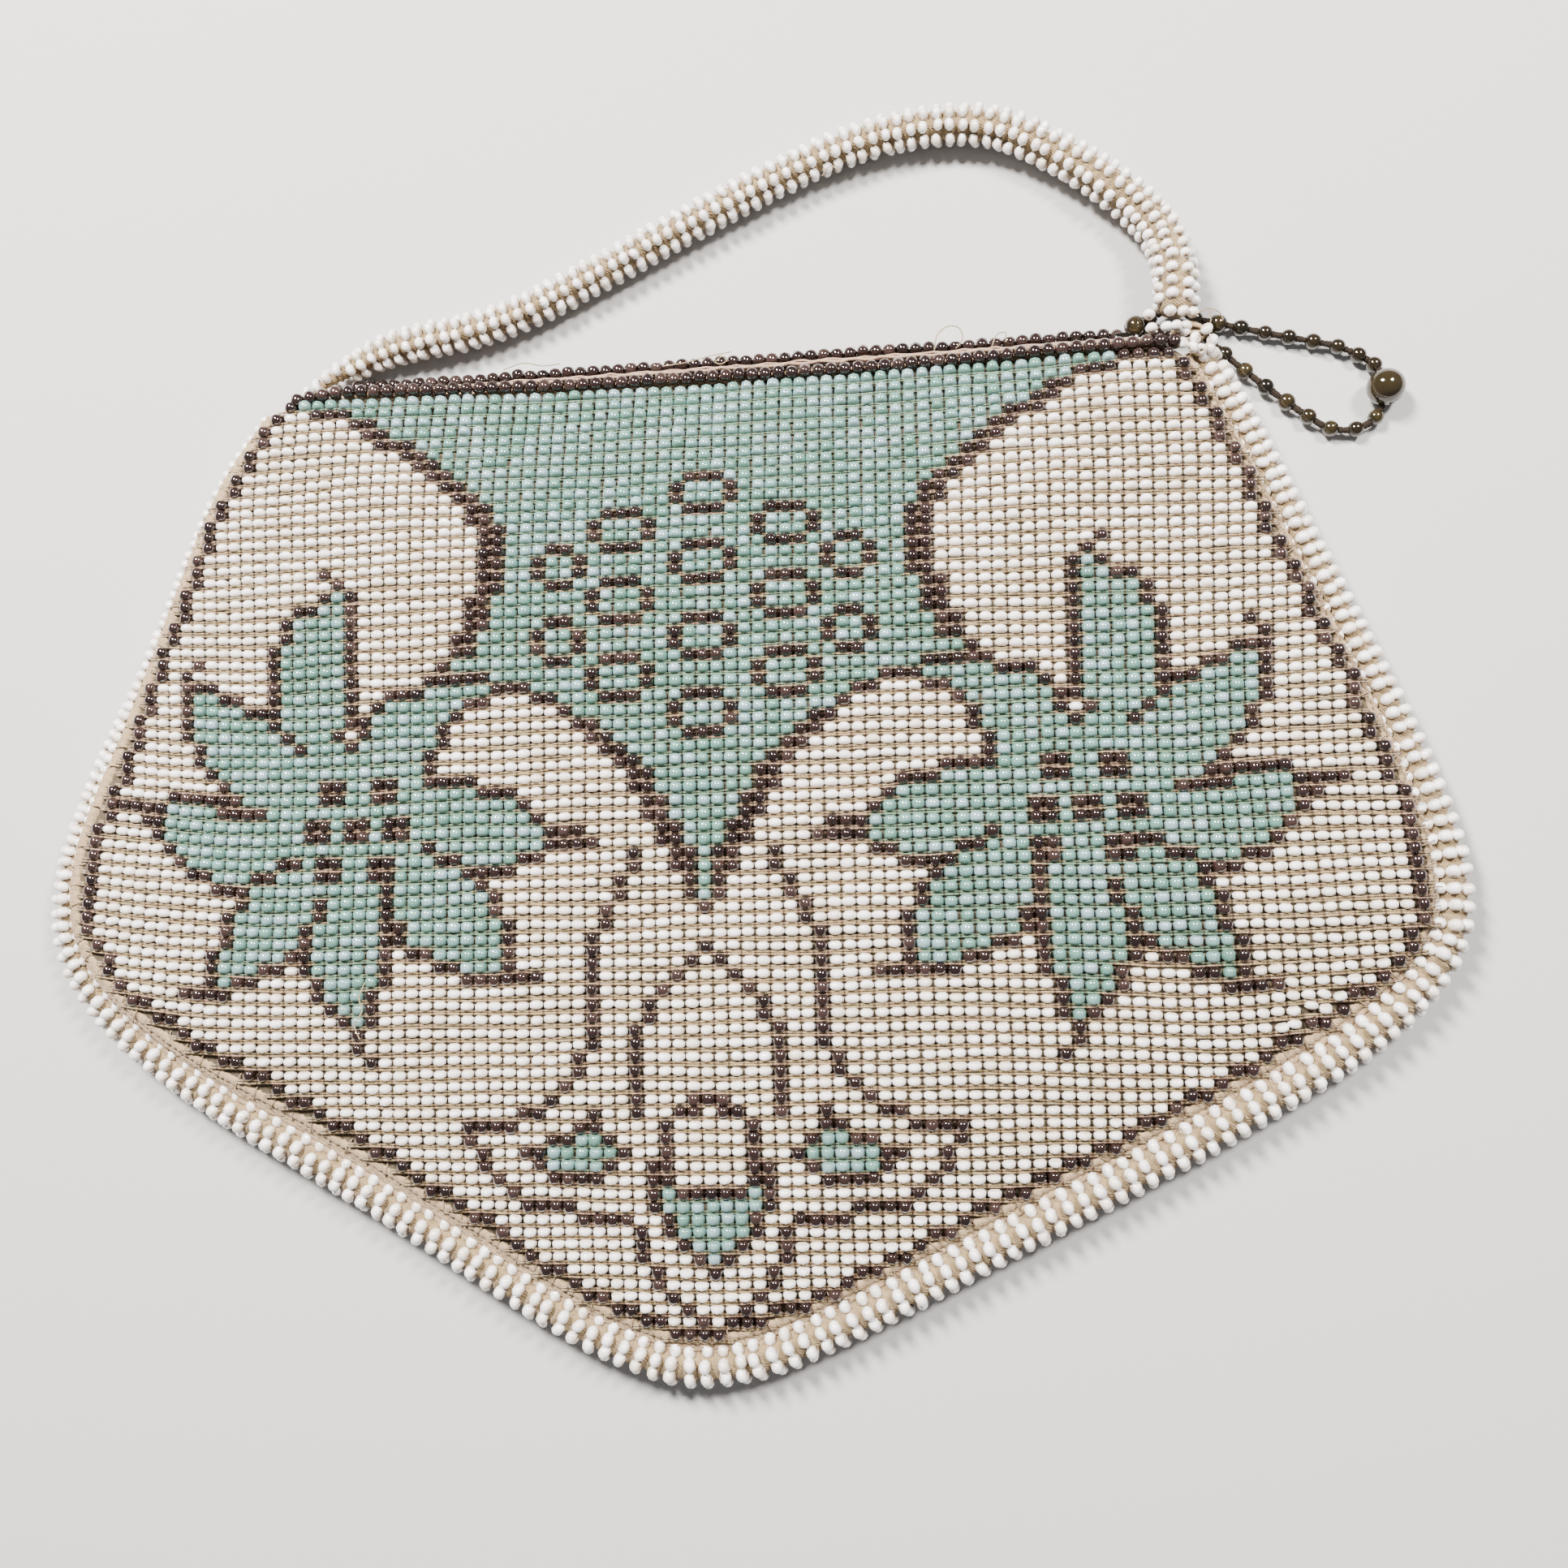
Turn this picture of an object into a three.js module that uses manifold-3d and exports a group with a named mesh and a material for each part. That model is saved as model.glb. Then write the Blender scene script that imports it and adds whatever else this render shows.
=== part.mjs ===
// A flat evening purse woven from glass seed beads, lying on its back.
// It has a domed front wall and a flat back wall, joined round their sides by a bead-wrapped rope.
// A closed zip lies between the two top edges, a bead-wrapped rope is the handle,
// and a string of beads hangs from the zip.
//
// The origin is on the resting face, on the centre line, level with the widest part of the bag.
// +X runs across the bag, +Y towards the handle and +Z up out of the front. Sizes are in millimetres.

import * as THREE from "three";
import { mergeVertices } from "three/addons/utils/BufferGeometryUtils.js";
import Module from "manifold-3d";

const wasm = await Module();
wasm.setup();

// Named sizes
const HALF_WIDTH = 100; // centre line to the middle of the side rope, at the widest line
const TOP_RISE = 80; // widest line to the upper ends of the side rope
const TIP_DROP = 62; // widest line to the middle of the side rope at the bottom tip
const WALL = 2.4; // bead layer and lining of the front wall
const BACK_WALL = 2.0; // the same for the back wall
const DOME_HEIGHT = 14; // floor to the top of the front wall
const DOME_POWER = 2.8; // a higher power gives a flatter middle and steeper sides
const TOP_EDGE_HEIGHT = 5.8; // floor to the outer face of the front wall in the middle of its top edge
const CORNER_REACH = 26; // length over which the top edge rises to the corners
const BACK_OVERHANG = 3.5; // the back wall's top edge stands this far beyond the front wall's
const GAP = 0.3; // between neighbouring pieces
const ROPE_RADIUS = 3.4; // rope round the sides, beads included
const ROPE_SHARE = 0.982; // share of the side line that the rope covers, from the left
const HANDLE_RADIUS = 3.5;
const HANDLE_RISE = 38.4; // upper ends of the side rope to the handle's highest point
const HANDLE_END_LIFT = 3.1; // the handle's right end rides over the zip's bead string
const HANDLE_CLEAR = 0.1; // floor to the underside of the lying handle
const RIM_RADIUS = 1.0; // bead row along each top edge
const RIM_GAP_LEFT = 7; // the rims end this far short of the front wall's top corners
const RIM_GAP_RIGHT = 4.5;
const ZIP_DEPTH = 13; // how far the tape reaches down between the walls
const SLIDER_WIDTH = 4.6;
const SLIDER_REACH = 2.4; // how far the slider stands out past the back rim
const BEAD_RADIUS = 1.15; // small beads of the zip's string
const TOP_BEAD_RADIUS = 1.5; // the bead next to the slider
const LARGE_BEAD_RADIUS = 2.5;
const THREAD_RADIUS = 0.35;
const STRING_CLEAR = 0.05; // floor to the underside of the string's beads
const TIE_RADIUS = 2.0; // bundle of thread and beads at the handle's right end
const TIE_OFFSET = [3.2, -2.6, -0.5]; // handle's right end to the middle of that bundle
const SIDE_STEPS = 66; // stretches of a wall's outline round its sides
const TOP_STEPS = 12; // stretches along a top edge

// Middle of the side rope, from the top left corner down to the tip and up to the top right corner.
// Across in shares of HALF_WIDTH; along in shares of TOP_RISE above zero and of TIP_DROP below it.
const SIDE_LINE = [
  [-0.695, 0.968],
  [-0.764, 0.846],
  [-0.815, 0.703],
  [-0.86, 0.555],
  [-0.912, 0.406],
  [-0.966, 0.255],
  [-1.003, 0.108],
  [-0.999, -0.029],
  [-0.944, -0.177],
  [-0.853, -0.308],
  [-0.749, -0.418],
  [-0.639, -0.519],
  [-0.526, -0.623],
  [-0.413, -0.732],
  [-0.3, -0.844],
  [-0.188, -0.94],
  [-0.081, -0.997],
  [0.023, -0.982],
  [0.137, -0.911],
  [0.256, -0.819],
  [0.374, -0.724],
  [0.489, -0.632],
  [0.601, -0.54],
  [0.713, -0.442],
  [0.827, -0.334],
  [0.925, -0.211],
  [0.98, -0.081],
  [0.986, 0.06],
  [0.955, 0.21],
  [0.906, 0.373],
  [0.855, 0.528],
  [0.807, 0.671],
  [0.762, 0.809],
  [0.707, 0.958],
  [0.69, 0.994],
];

// How far the front wall's edge climbs over the rope: share of the side line, and degrees from
// 0 (beside the rope) to 90 (on top of it).
const SEAT = [
  [0, 80],
  [0.17, 80],
  [0.21, 60],
  [0.26, 50],
  [0.32, 34],
  [0.45, 24],
  [0.54, 10],
  [0.74, 8],
  [0.8, 36],
  [0.85, 45],
  [1, 50],
];

// Ends of the front and back walls' top edges, in the shares of the side line.
const FRONT_TOP = [
  [-0.645, 0.992],
  [0.645, 0.998],
];
const BACK_TOP = [
  [-0.585, 0.992],
  [0.61, 0.998],
];

// Shallow hollows and swellings of the front wall:
// across and along in the shares above, radius in shares of HALF_WIDTH, height in shares of DOME_HEIGHT.
const DENTS = [
  [0.84, 0.02, 0.1, -0.06],
  [-0.6, 0.16, 0.22, -0.04],
  [0.3, 0.6, 0.25, -0.03],
  [-0.1, -0.42, 0.24, 0.03],
];

// Centre line of the handle: across in shares of HALF_WIDTH, along in shares of HANDLE_RISE above
// TOP_RISE, and thickness in shares of HANDLE_RADIUS.
const HANDLE_PATH = [
  [-0.668, 0.063, 0.42],
  [-0.612, 0.148, 0.6],
  [-0.549, 0.216, 0.78],
  [-0.487, 0.255, 0.85],
  [-0.402, 0.286, 0.86],
  [-0.32, 0.346, 0.86],
  [-0.192, 0.497, 0.86],
  [-0.1, 0.615, 0.87],
  [-0.004, 0.734, 0.88],
  [0.106, 0.862, 0.88],
  [0.2, 0.951, 0.9],
  [0.31, 1, 0.92],
  [0.415, 0.974, 0.95],
  [0.518, 0.826, 0.97],
  [0.578, 0.703, 1],
  [0.628, 0.576, 1],
  [0.656, 0.44, 1],
  [0.664, 0.286, 1],
  [0.662, 0.128, 1],
];

// Beads of the zip's string in order from the slider: across and along, in millimetres from the front
// wall's top right corner.
const STEM = [
  [-3.2, 8.26],
  [-0.9, 8.46],
  [2.2, 7.76],
  [5.3, 6.16],
];
const UPPER_STRAND = [
  [8.5, 5.16],
  [11.7, 4.26],
  [15.1, 3.26],
  [18.4, 2.36],
  [21.8, 1.46],
  [25.2, 0.46],
  [28, -1.04],
  [30.1, -2.64],
];
const LARGE_BEAD = [31.1, -6.64];
const LOWER_STRAND = [
  [29.8, -10.54],
  [26.9, -12.14],
  [23.4, -11.84],
  [20.4, -9.84],
  [17.5, -7.44],
  [14.7, -4.94],
  [11.9, -2.34],
  [9.2, 0.36],
  [6.9, 3.16],
];

// A point of a table of shares, in millimetres.
function placed([across, along]) {
  return new THREE.Vector2(
    across * HALF_WIDTH,
    along * (along > 0 ? TOP_RISE : TIP_DROP),
  );
}

function flatCurve(points, height) {
  return new THREE.CatmullRomCurve3(
    points.map((p) => new THREE.Vector3(p.x, p.y, height)),
    false,
    "centripetal",
  );
}

const sideCurve = flatCurve(SIDE_LINE.map(placed), 0);

function between(table, at) {
  const inside = table.findIndex(([place]) => place >= at);
  const next = inside < 0 ? table.length - 1 : Math.max(1, inside);
  const [[a, low], [b, high]] = [table[next - 1], table[next]];
  return low + ((at - a) / (b - a)) * (high - low);
}

// Closed outline of a wall, counter-clockwise. inset gives each side point's distance inside the rope's
// middle and its height; the top edge runs straight between two corners at topHeight in its middle.
function wallOutline(inset, corners, topShift, topHeight) {
  const outline = [];
  for (let i = 0; i <= SIDE_STEPS; i++) {
    const share = i / SIDE_STEPS;
    const p = sideCurve.getPointAt(share);
    const t = sideCurve.getTangentAt(share);
    const [distance, height] = inset(share);
    outline.push({ x: p.x - t.y * distance, y: p.y + t.x * distance, height });
  }
  const [left, right] = corners.map(placed);
  const [leftHeight, rightHeight] = [outline[0].height, outline.at(-1).height];
  for (let i = 0; i <= TOP_STEPS; i++) {
    const p = right.clone().lerp(left, i / TOP_STEPS);
    const rise = (corner, height) =>
      (height - topHeight) * Math.exp(-Math.pow(p.distanceTo(corner) / CORNER_REACH, 2));
    const height = topHeight + rise(right, rightHeight) + rise(left, leftHeight);
    outline.push({ x: p.x, y: p.y + topShift, height });
  }
  return outline;
}

// A sheet over the outline. Rings shrink towards the middle; upper and lower give the two faces' heights.
function sheet(outline, middle, rings, upper, lower) {
  const n = outline.length;
  const positions = [];
  const index = [];
  const addFace = (height) => {
    const first = positions.length / 3;
    positions.push(middle.x, middle.y, height(0, middle.x, middle.y, DOME_HEIGHT));
    for (const u of rings) {
      for (const p of outline) {
        const x = middle.x + u * (p.x - middle.x);
        const y = middle.y + u * (p.y - middle.y);
        positions.push(x, y, height(u, x, y, p.height));
      }
    }
    return first;
  };
  const top = addFace(upper);
  const bottom = addFace(lower);
  const at = (first, ring, i) => first + 1 + ring * n + (i % n);
  const triangle = (a, b, c, flip) => index.push(...(flip ? [a, c, b] : [a, b, c]));
  for (const [first, flip] of [[top, false], [bottom, true]]) {
    for (let i = 0; i < n; i++) {
      triangle(first, at(first, 0, i), at(first, 0, i + 1), flip);
      for (let r = 0; r + 1 < rings.length; r++) {
        const [a, b] = [at(first, r, i), at(first, r, i + 1)];
        const [c, d] = [at(first, r + 1, i), at(first, r + 1, i + 1)];
        triangle(a, c, d, flip);
        triangle(a, d, b, flip);
      }
    }
  }
  const last = rings.length - 1;
  for (let i = 0; i < n; i++) {
    const [a, b] = [at(top, last, i), at(top, last, i + 1)];
    const [c, d] = [at(bottom, last, i), at(bottom, last, i + 1)];
    triangle(a, c, d, false);
    triangle(a, d, b, false);
  }
  const geometry = new THREE.BufferGeometry();
  geometry.setAttribute("position", new THREE.Float32BufferAttribute(positions, 3));
  geometry.setIndex(index);
  return geometry;
}

const dents = DENTS.map(([across, along, radius, height]) => ({
  at: placed([across, along]),
  radius: radius * HALF_WIDTH,
  height: height * DOME_HEIGHT,
}));

// Outer height of the front wall; u runs from 0 in the middle to 1 at an edge of the given height.
function frontHeight(u, x, y, edge) {
  const swell = 1 - Math.pow(u, DOME_POWER);
  let z = edge + (DOME_HEIGHT - edge) * swell;
  for (const dent of dents) {
    const away = Math.hypot(x - dent.at.x, y - dent.at.y) / dent.radius;
    z += dent.height * Math.exp(-away * away) * Math.min(1, 6 * (1 - u));
  }
  return z;
}

// Highest point of the front wall, where the rings of both walls meet.
const crown = new THREE.Vector2(0, 0.12 * TOP_RISE);

function frontOutline() {
  const clear = ROPE_RADIUS + GAP;
  const seat = (share) => {
    const angle = THREE.MathUtils.degToRad(between(SEAT, share));
    return [clear * Math.cos(angle), ROPE_RADIUS + clear * Math.sin(angle) + WALL];
  };
  return wallOutline(seat, FRONT_TOP, 0, TOP_EDGE_HEIGHT);
}

function frontWall() {
  const rings = [0.24, 0.44, 0.6, 0.73, 0.83, 0.9, 0.96, 1];
  return sheet(frontOutline(), crown, rings, frontHeight, (u, x, y, edge) =>
    frontHeight(u, x, y, edge) - WALL,
  );
}

// The back wall lies flat, and its upper face stays a gap clear of the rope.
function backWall() {
  const clear = ROPE_RADIUS + GAP;
  const inside = Math.sqrt(clear ** 2 - (ROPE_RADIUS - BACK_WALL) ** 2);
  const outline = wallOutline(() => [inside, 0], BACK_TOP, BACK_OVERHANG, 0);
  return sheet(outline, crown, [0.5, 0.8, 1], () => BACK_WALL, () => 0);
}

// A round bar along a curve, with its own radius at each step and flat ends.
function roundBar(curve, steps, sides, radiusAt) {
  const shape = new THREE.Shape().absarc(0, 0, 1, 0, 2 * Math.PI);
  const circle = shape.getSpacedPoints(sides).slice(0, sides);
  const unit = new THREE.ExtrudeGeometry(new THREE.Shape(circle), {
    steps,
    bevelEnabled: false,
    extrudePath: curve,
  });
  unit.deleteAttribute("normal");
  unit.deleteAttribute("uv");
  const geometry = mergeVertices(unit, 1e-4);
  const position = geometry.getAttribute("position");
  const centres = curve.getSpacedPoints(steps);
  const v = new THREE.Vector3();
  for (let i = 0; i < position.count; i++) {
    v.fromBufferAttribute(position, i);
    let nearest = 0;
    centres.forEach((c, k) => {
      if (v.distanceTo(c) < v.distanceTo(centres[nearest])) nearest = k;
    });
    const centre = centres[nearest];
    v.sub(centre).multiplyScalar(radiusAt(nearest / steps)).add(centre);
    position.setXYZ(i, v.x, v.y, v.z);
  }
  return geometry;
}

function sideRope() {
  const steps = 84;
  const points = [];
  for (let i = 0; i <= steps; i++) {
    const p = sideCurve.getPointAt((ROPE_SHARE * i) / steps);
    points.push(new THREE.Vector3(p.x, p.y, ROPE_RADIUS));
  }
  const curve = new THREE.CatmullRomCurve3(points, false, "centripetal");
  return roundBar(curve, steps, 10, () => ROPE_RADIUS);
}

function handle() {
  const last = HANDLE_PATH.length - 1;
  const lifts = [1, 0.85, 0.3];
  const points = HANDLE_PATH.map(([across, rise, share], i) => {
    const lift = HANDLE_CLEAR + HANDLE_END_LIFT * (lifts[last - i] ?? 0);
    return new THREE.Vector3(
      across * HALF_WIDTH,
      TOP_RISE + rise * HANDLE_RISE,
      HANDLE_RADIUS * share + lift,
    );
  });
  const curve = new THREE.CatmullRomCurve3(points, false, "centripetal");
  const runs = points.map((p, i) => (i ? p.distanceTo(points[i - 1]) : 0));
  const whole = runs.reduce((a, b) => a + b);
  let run = 0;
  const thickness = HANDLE_PATH.map(([, , share], i) => [(run += runs[i]) / whole, share]);
  thickness[last][0] = 1;
  return roundBar(curve, 44, 10, (at) => HANDLE_RADIUS * between(thickness, at));
}

// Height along the bag of the front wall's top edge at a place across it.
function topEdgeAt(x) {
  const [left, right] = FRONT_TOP.map(placed);
  return left.y + ((x - left.x) / (right.x - left.x)) * (right.y - left.y);
}

// Where the rims and the zip start and end across the bag.
function rimEnds() {
  const [left, right] = FRONT_TOP.map(placed);
  return [left.x + RIM_GAP_LEFT, right.x - RIM_GAP_RIGHT];
}

// A row of beads along a top edge; heightAt gives its middle's height at a place across.
function rim(shift, heightAt) {
  const [left, right] = rimEnds();
  const points = [];
  for (let i = 0; i <= TOP_STEPS; i++) {
    const x = left + ((right - left) * i) / TOP_STEPS;
    points.push(new THREE.Vector3(x, topEdgeAt(x) + shift, heightAt(x)));
  }
  const curve = new THREE.CatmullRomCurve3(points, false, "centripetal");
  return roundBar(curve, TOP_STEPS, 8, () => RIM_RADIUS);
}

function frontRim() {
  const edge = frontOutline().slice(-TOP_STEPS - 1).reverse().map((p) => [p.x, p.height]);
  return rim(GAP + RIM_RADIUS, (x) => between(edge, x) - WALL / 2);
}

// Closed zip as one plain plate: a tape that fills the slot between the walls, and the slider at its end.
function zip() {
  const [start, rimEnd] = rimEnds();
  const end = rimEnd - GAP;
  const slider = end - SLIDER_WIDTH;
  const tapeTop = BACK_OVERHANG - GAP;
  const sliderTop = BACK_OVERHANG + 2 * RIM_RADIUS + SLIDER_REACH;
  const corner = (x, rise) => new THREE.Vector2(x, topEdgeAt(x) + rise);
  const shape = new THREE.Shape([
    corner(start, -ZIP_DEPTH),
    corner(end, -ZIP_DEPTH),
    corner(end, sliderTop),
    corner(slider, sliderTop),
    corner(slider, tapeTop),
    corner(start, tapeTop),
  ]);
  const depth = TOP_EDGE_HEIGHT - WALL - BACK_WALL - 2 * GAP;
  const geometry = new THREE.ExtrudeGeometry(shape, { depth, bevelEnabled: false });
  return geometry.translate(0, 0, BACK_WALL + GAP);
}

function toSolid(geometry) {
  const bare = geometry.clone();
  bare.deleteAttribute("normal");
  bare.deleteAttribute("uv");
  const merged = mergeVertices(bare, 1e-4);
  return new wasm.Manifold(
    new wasm.Mesh({
      numProp: 3,
      vertProperties: merged.attributes.position.array,
      triVerts: new Uint32Array(merged.index.array),
    }),
  );
}

function toGeometry(solid) {
  const mesh = solid.getMesh();
  const geometry = new THREE.BufferGeometry();
  geometry.setAttribute("position", new THREE.BufferAttribute(mesh.vertProperties, 3));
  geometry.setIndex(new THREE.BufferAttribute(mesh.triVerts, 1));
  return geometry;
}

function bead(radius, x, y, z) {
  return new THREE.SphereGeometry(radius, 10, 6).translate(x, y, z);
}

// Place of a bead of the zip's string.
function strung([across, along], height) {
  const corner = placed(FRONT_TOP[1]);
  return new THREE.Vector3(corner.x + across, corner.y + along, height);
}

// The thread's direction through the large bead.
function largeBeadDirection() {
  const [before, after] = [UPPER_STRAND.at(-1), LOWER_STRAND[0]];
  return new THREE.Vector3(after[0] - before[0], after[1] - before[1], 0).normalize();
}

// Small beads fused on their thread: a stem from the slider, then a loop that passes through the large bead.
function beadString() {
  const small = (place) => strung(place, BEAD_RADIUS + STRING_CLEAR);
  const large = strung(LARGE_BEAD, LARGE_BEAD_RADIUS);
  const through = [-1, -0.5, 0, 0.5, 1].map((share) =>
    large.clone().addScaledVector(largeBeadDirection(), share * LARGE_BEAD_RADIUS),
  );
  const end = small(STEM.at(-1));
  const upper = UPPER_STRAND.map(small);
  const lower = LOWER_STRAND.map(small);
  const routes = [STEM.map(small), [end, ...upper, ...through, ...lower, end]];
  const threads = routes.map((route) => {
    const curve = new THREE.CatmullRomCurve3(route, false, "centripetal");
    return roundBar(curve, 2 * route.length, 6, () => THREAD_RADIUS);
  });
  const beads = [...STEM.slice(1).map(small), ...upper, ...lower].map(({ x, y, z }) =>
    bead(BEAD_RADIUS, x, y, z),
  );
  const top = strung(STEM[0], TOP_BEAD_RADIUS + STRING_CLEAR);
  beads.push(bead(TOP_BEAD_RADIUS, top.x, top.y, top.z));
  return [...threads, ...beads].map(toSolid).reduce((a, b) => a.add(b));
}

// The large bead, drilled for the thread.
function largeBead() {
  const hole = THREAD_RADIUS + GAP;
  const half = Math.acos(hole / LARGE_BEAD_RADIUS);
  const profile = [];
  for (let i = 0; i <= 10; i++) {
    const angle = -half + (2 * half * i) / 10;
    profile.push(
      new THREE.Vector2(
        i === 0 || i === 10 ? hole : LARGE_BEAD_RADIUS * Math.cos(angle),
        LARGE_BEAD_RADIUS * Math.sin(angle),
      ),
    );
  }
  profile.push(profile[0].clone());
  const geometry = new THREE.LatheGeometry(profile, 16);
  geometry.applyQuaternion(
    new THREE.Quaternion().setFromUnitVectors(new THREE.Vector3(0, 1, 0), largeBeadDirection()),
  );
  const { x, y, z } = strung(LARGE_BEAD, LARGE_BEAD_RADIUS);
  return geometry.translate(x, y, z);
}

// Bundle of thread and loose beads that ties the handle's right end to the rope.
function cornerTie() {
  const [across, rise] = HANDLE_PATH.at(-1);
  const x = across * HALF_WIDTH + TIE_OFFSET[0];
  const y = TOP_RISE + rise * HANDLE_RISE + TIE_OFFSET[1];
  const z = HANDLE_RADIUS + HANDLE_CLEAR + HANDLE_END_LIFT + TIE_OFFSET[2];
  const core = new THREE.SphereGeometry(TIE_RADIUS, 10, 6).scale(1.15, 0.9, 1).translate(x, y, z);
  const lumps = [
    [-0.6, -0.25, 0.5],
    [0.45, 0.3, 0.6],
    [0.95, -0.15, 0.05],
    [0.2, -0.4, 0.7],
  ].map((place) => {
    const [dx, dy, dz] = place.map((share) => share * TIE_RADIUS);
    return bead(0.48 * TIE_RADIUS, x + dx, y + dy, z + dz);
  });
  return [core, ...lumps].map(toSolid).reduce((a, b) => a.add(b));
}

const WHITE = { color: 0xece8df, roughness: 0.3, metalness: 0 };
const BRONZE = { color: 0x4a2a22, roughness: 0.25, metalness: 0.7 };
const OLIVE = { color: 0x3f3418, roughness: 0.25, metalness: 0.7 };
const TAN = { color: 0xc9b48c, roughness: 0.85, metalness: 0 };

const pieces = [
  ["front_panel", frontWall(), WHITE],
  ["back_panel", backWall(), WHITE],
  ["side_rope", sideRope(), WHITE],
  ["handle_rope", handle(), WHITE],
  ["front_rim", frontRim(), BRONZE],
  ["back_rim", rim(GAP + RIM_RADIUS + BACK_OVERHANG, () => RIM_RADIUS), BRONZE],
  ["zip_closed", zip(), TAN],
  ["zip_pull_string", toGeometry(beadString()), OLIVE],
  ["zip_pull_bead", largeBead(), OLIVE],
  ["corner_tie", toGeometry(cornerTie()), WHITE],
];

const purse = new THREE.Group();
for (const [name, geometry, look] of pieces) {
  const mesh = new THREE.Mesh(geometry, new THREE.MeshStandardMaterial(look));
  mesh.name = name;
  purse.add(mesh);
}

export default purse;
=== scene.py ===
import math

import bmesh
import bpy
import numpy as np
from mathutils import Matrix, Vector


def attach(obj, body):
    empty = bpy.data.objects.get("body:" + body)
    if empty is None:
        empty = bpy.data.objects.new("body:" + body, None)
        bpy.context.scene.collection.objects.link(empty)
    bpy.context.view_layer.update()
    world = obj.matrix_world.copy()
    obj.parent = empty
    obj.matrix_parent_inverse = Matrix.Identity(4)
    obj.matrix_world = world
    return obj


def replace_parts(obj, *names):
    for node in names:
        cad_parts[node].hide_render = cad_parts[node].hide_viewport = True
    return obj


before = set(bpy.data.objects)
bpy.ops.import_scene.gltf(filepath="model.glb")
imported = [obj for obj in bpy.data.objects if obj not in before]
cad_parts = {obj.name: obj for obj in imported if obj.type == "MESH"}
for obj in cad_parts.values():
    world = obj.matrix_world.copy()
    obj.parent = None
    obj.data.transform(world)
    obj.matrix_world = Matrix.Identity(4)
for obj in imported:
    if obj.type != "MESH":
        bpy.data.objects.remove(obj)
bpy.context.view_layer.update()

# A flat evening purse woven from glass seed beads on cotton thread, lying on its back.
# The bead rows run across the bag. Columns and rows of the pattern are counted in beads:
# column -31 is the middle of the pattern and row 0 lies a little below the top edge.
# Sizes are in millimetres and become metres where a mesh is made.
MM = 0.001
SEED = 11
random = np.random.default_rng(SEED)

# Bag
HALF_WIDTH = 100.0
TOP_RISE = 80.0
TIP_DROP = 62.0
WALL = 2.4
DOME_HEIGHT = 14.0
DOME_POWER = 2.8
TOP_EDGE_HEIGHT = 5.8
CORNER_REACH = 26.0
ROPE_RADIUS = 3.4
ROPE_CLEAR = 3.7
CROWN = (0.0, 9.6)

# Beads and thread
WHITE, BLUE, BRONZE = 0, 1, 2
BEAD_RADIUS = 1.0
# Size of the woven beads across, along their hole and outwards.
WOVEN_SIZES = {WHITE: (0.94, 0.87, 0.98), BLUE: (0.95, 0.98, 0.98), BRONZE: (0.96, 1.04, 1.1)}
SIZE_SPREAD = 0.035
PLACE_SPREAD = 0.05
COLUMN_PITCH = 1.98
COLUMN_AT_ZERO = -29.7
# Distance along the bag of some of the pattern's rows; the others lie evenly between them.
ROW_LEVELS = {-9: 80.0, -8: 78.35, 0: 63.5, 8: 49.4, 16: 34.4, 24: 19.5, 32: 4.5, 40: -10.4, 48: -25.2,
              56: -39.7, 64: -53.9, 70: -64.6}
FIRST_ROW = -8
LAST_ROW = 69
THREAD_RADIUS = 0.17
# Painted reflection: how far each kind of bead tints the thread beside it with its own colour.
BEAD_REFLECTION_TINTS = {WHITE: 0.0, BLUE: 1.2, BRONZE: -0.7}
BACK_ROW_PITCH = 1.86
BACK_TOP_ROW = -12
BACK_TOP_LEVEL = 82.2

# Middle of the side rope from the top left corner round the tip to the top right corner, as shares
# of HALF_WIDTH across, and of TOP_RISE above zero or TIP_DROP below it.
SIDE_LINE = [
    (-0.695, 0.968), (-0.764, 0.846), (-0.815, 0.703), (-0.86, 0.555), (-0.912, 0.406), (-0.966, 0.255),
    (-1.003, 0.108), (-0.999, -0.029), (-0.944, -0.177), (-0.853, -0.308), (-0.749, -0.418),
    (-0.639, -0.519), (-0.526, -0.623), (-0.413, -0.732), (-0.3, -0.844), (-0.188, -0.94),
    (-0.081, -0.997), (0.023, -0.982), (0.137, -0.911), (0.256, -0.819), (0.374, -0.724),
    (0.489, -0.632), (0.601, -0.54), (0.713, -0.442), (0.827, -0.334), (0.925, -0.211),
    (0.98, -0.081), (0.986, 0.06), (0.955, 0.21), (0.906, 0.373), (0.855, 0.528), (0.807, 0.671),
    (0.762, 0.809), (0.707, 0.958), (0.69, 0.994),
]
# How far the front wall's edge climbs over the rope: share of the side line, and degrees.
SEAT = [(0, 80), (0.17, 80), (0.21, 60), (0.26, 50), (0.32, 34), (0.45, 24), (0.54, 10), (0.74, 8),
        (0.8, 36), (0.85, 45), (1, 50)]
# How far inside the front wall's edge the line of bronze beads runs, along the side line.
EDGE_INSET = [(0, 0.3), (0.09, 1.1), (0.115, 2.2), (0.14, 3.2), (0.17, 3.4), (0.2, 2.6), (0.25, 2.7),
              (0.32, 2.9), (0.4, 2.0), (0.46, 0.9), (0.55, 0.35), (1, 0.35)]
FRONT_TOP = ((-64.5, 79.36), (64.5, 79.84))
BACK_TOP = ((-58.5, 82.86), (61.0, 83.34))
# Shallow hollows and swellings of the front wall: middle, radius and height.
DENTS = [(84, 1.6, 10, -0.84), (-60, 12.8, 22, -0.56), (30, 48, 25, -0.42), (-10, -26, 24, 0.42)]
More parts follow.
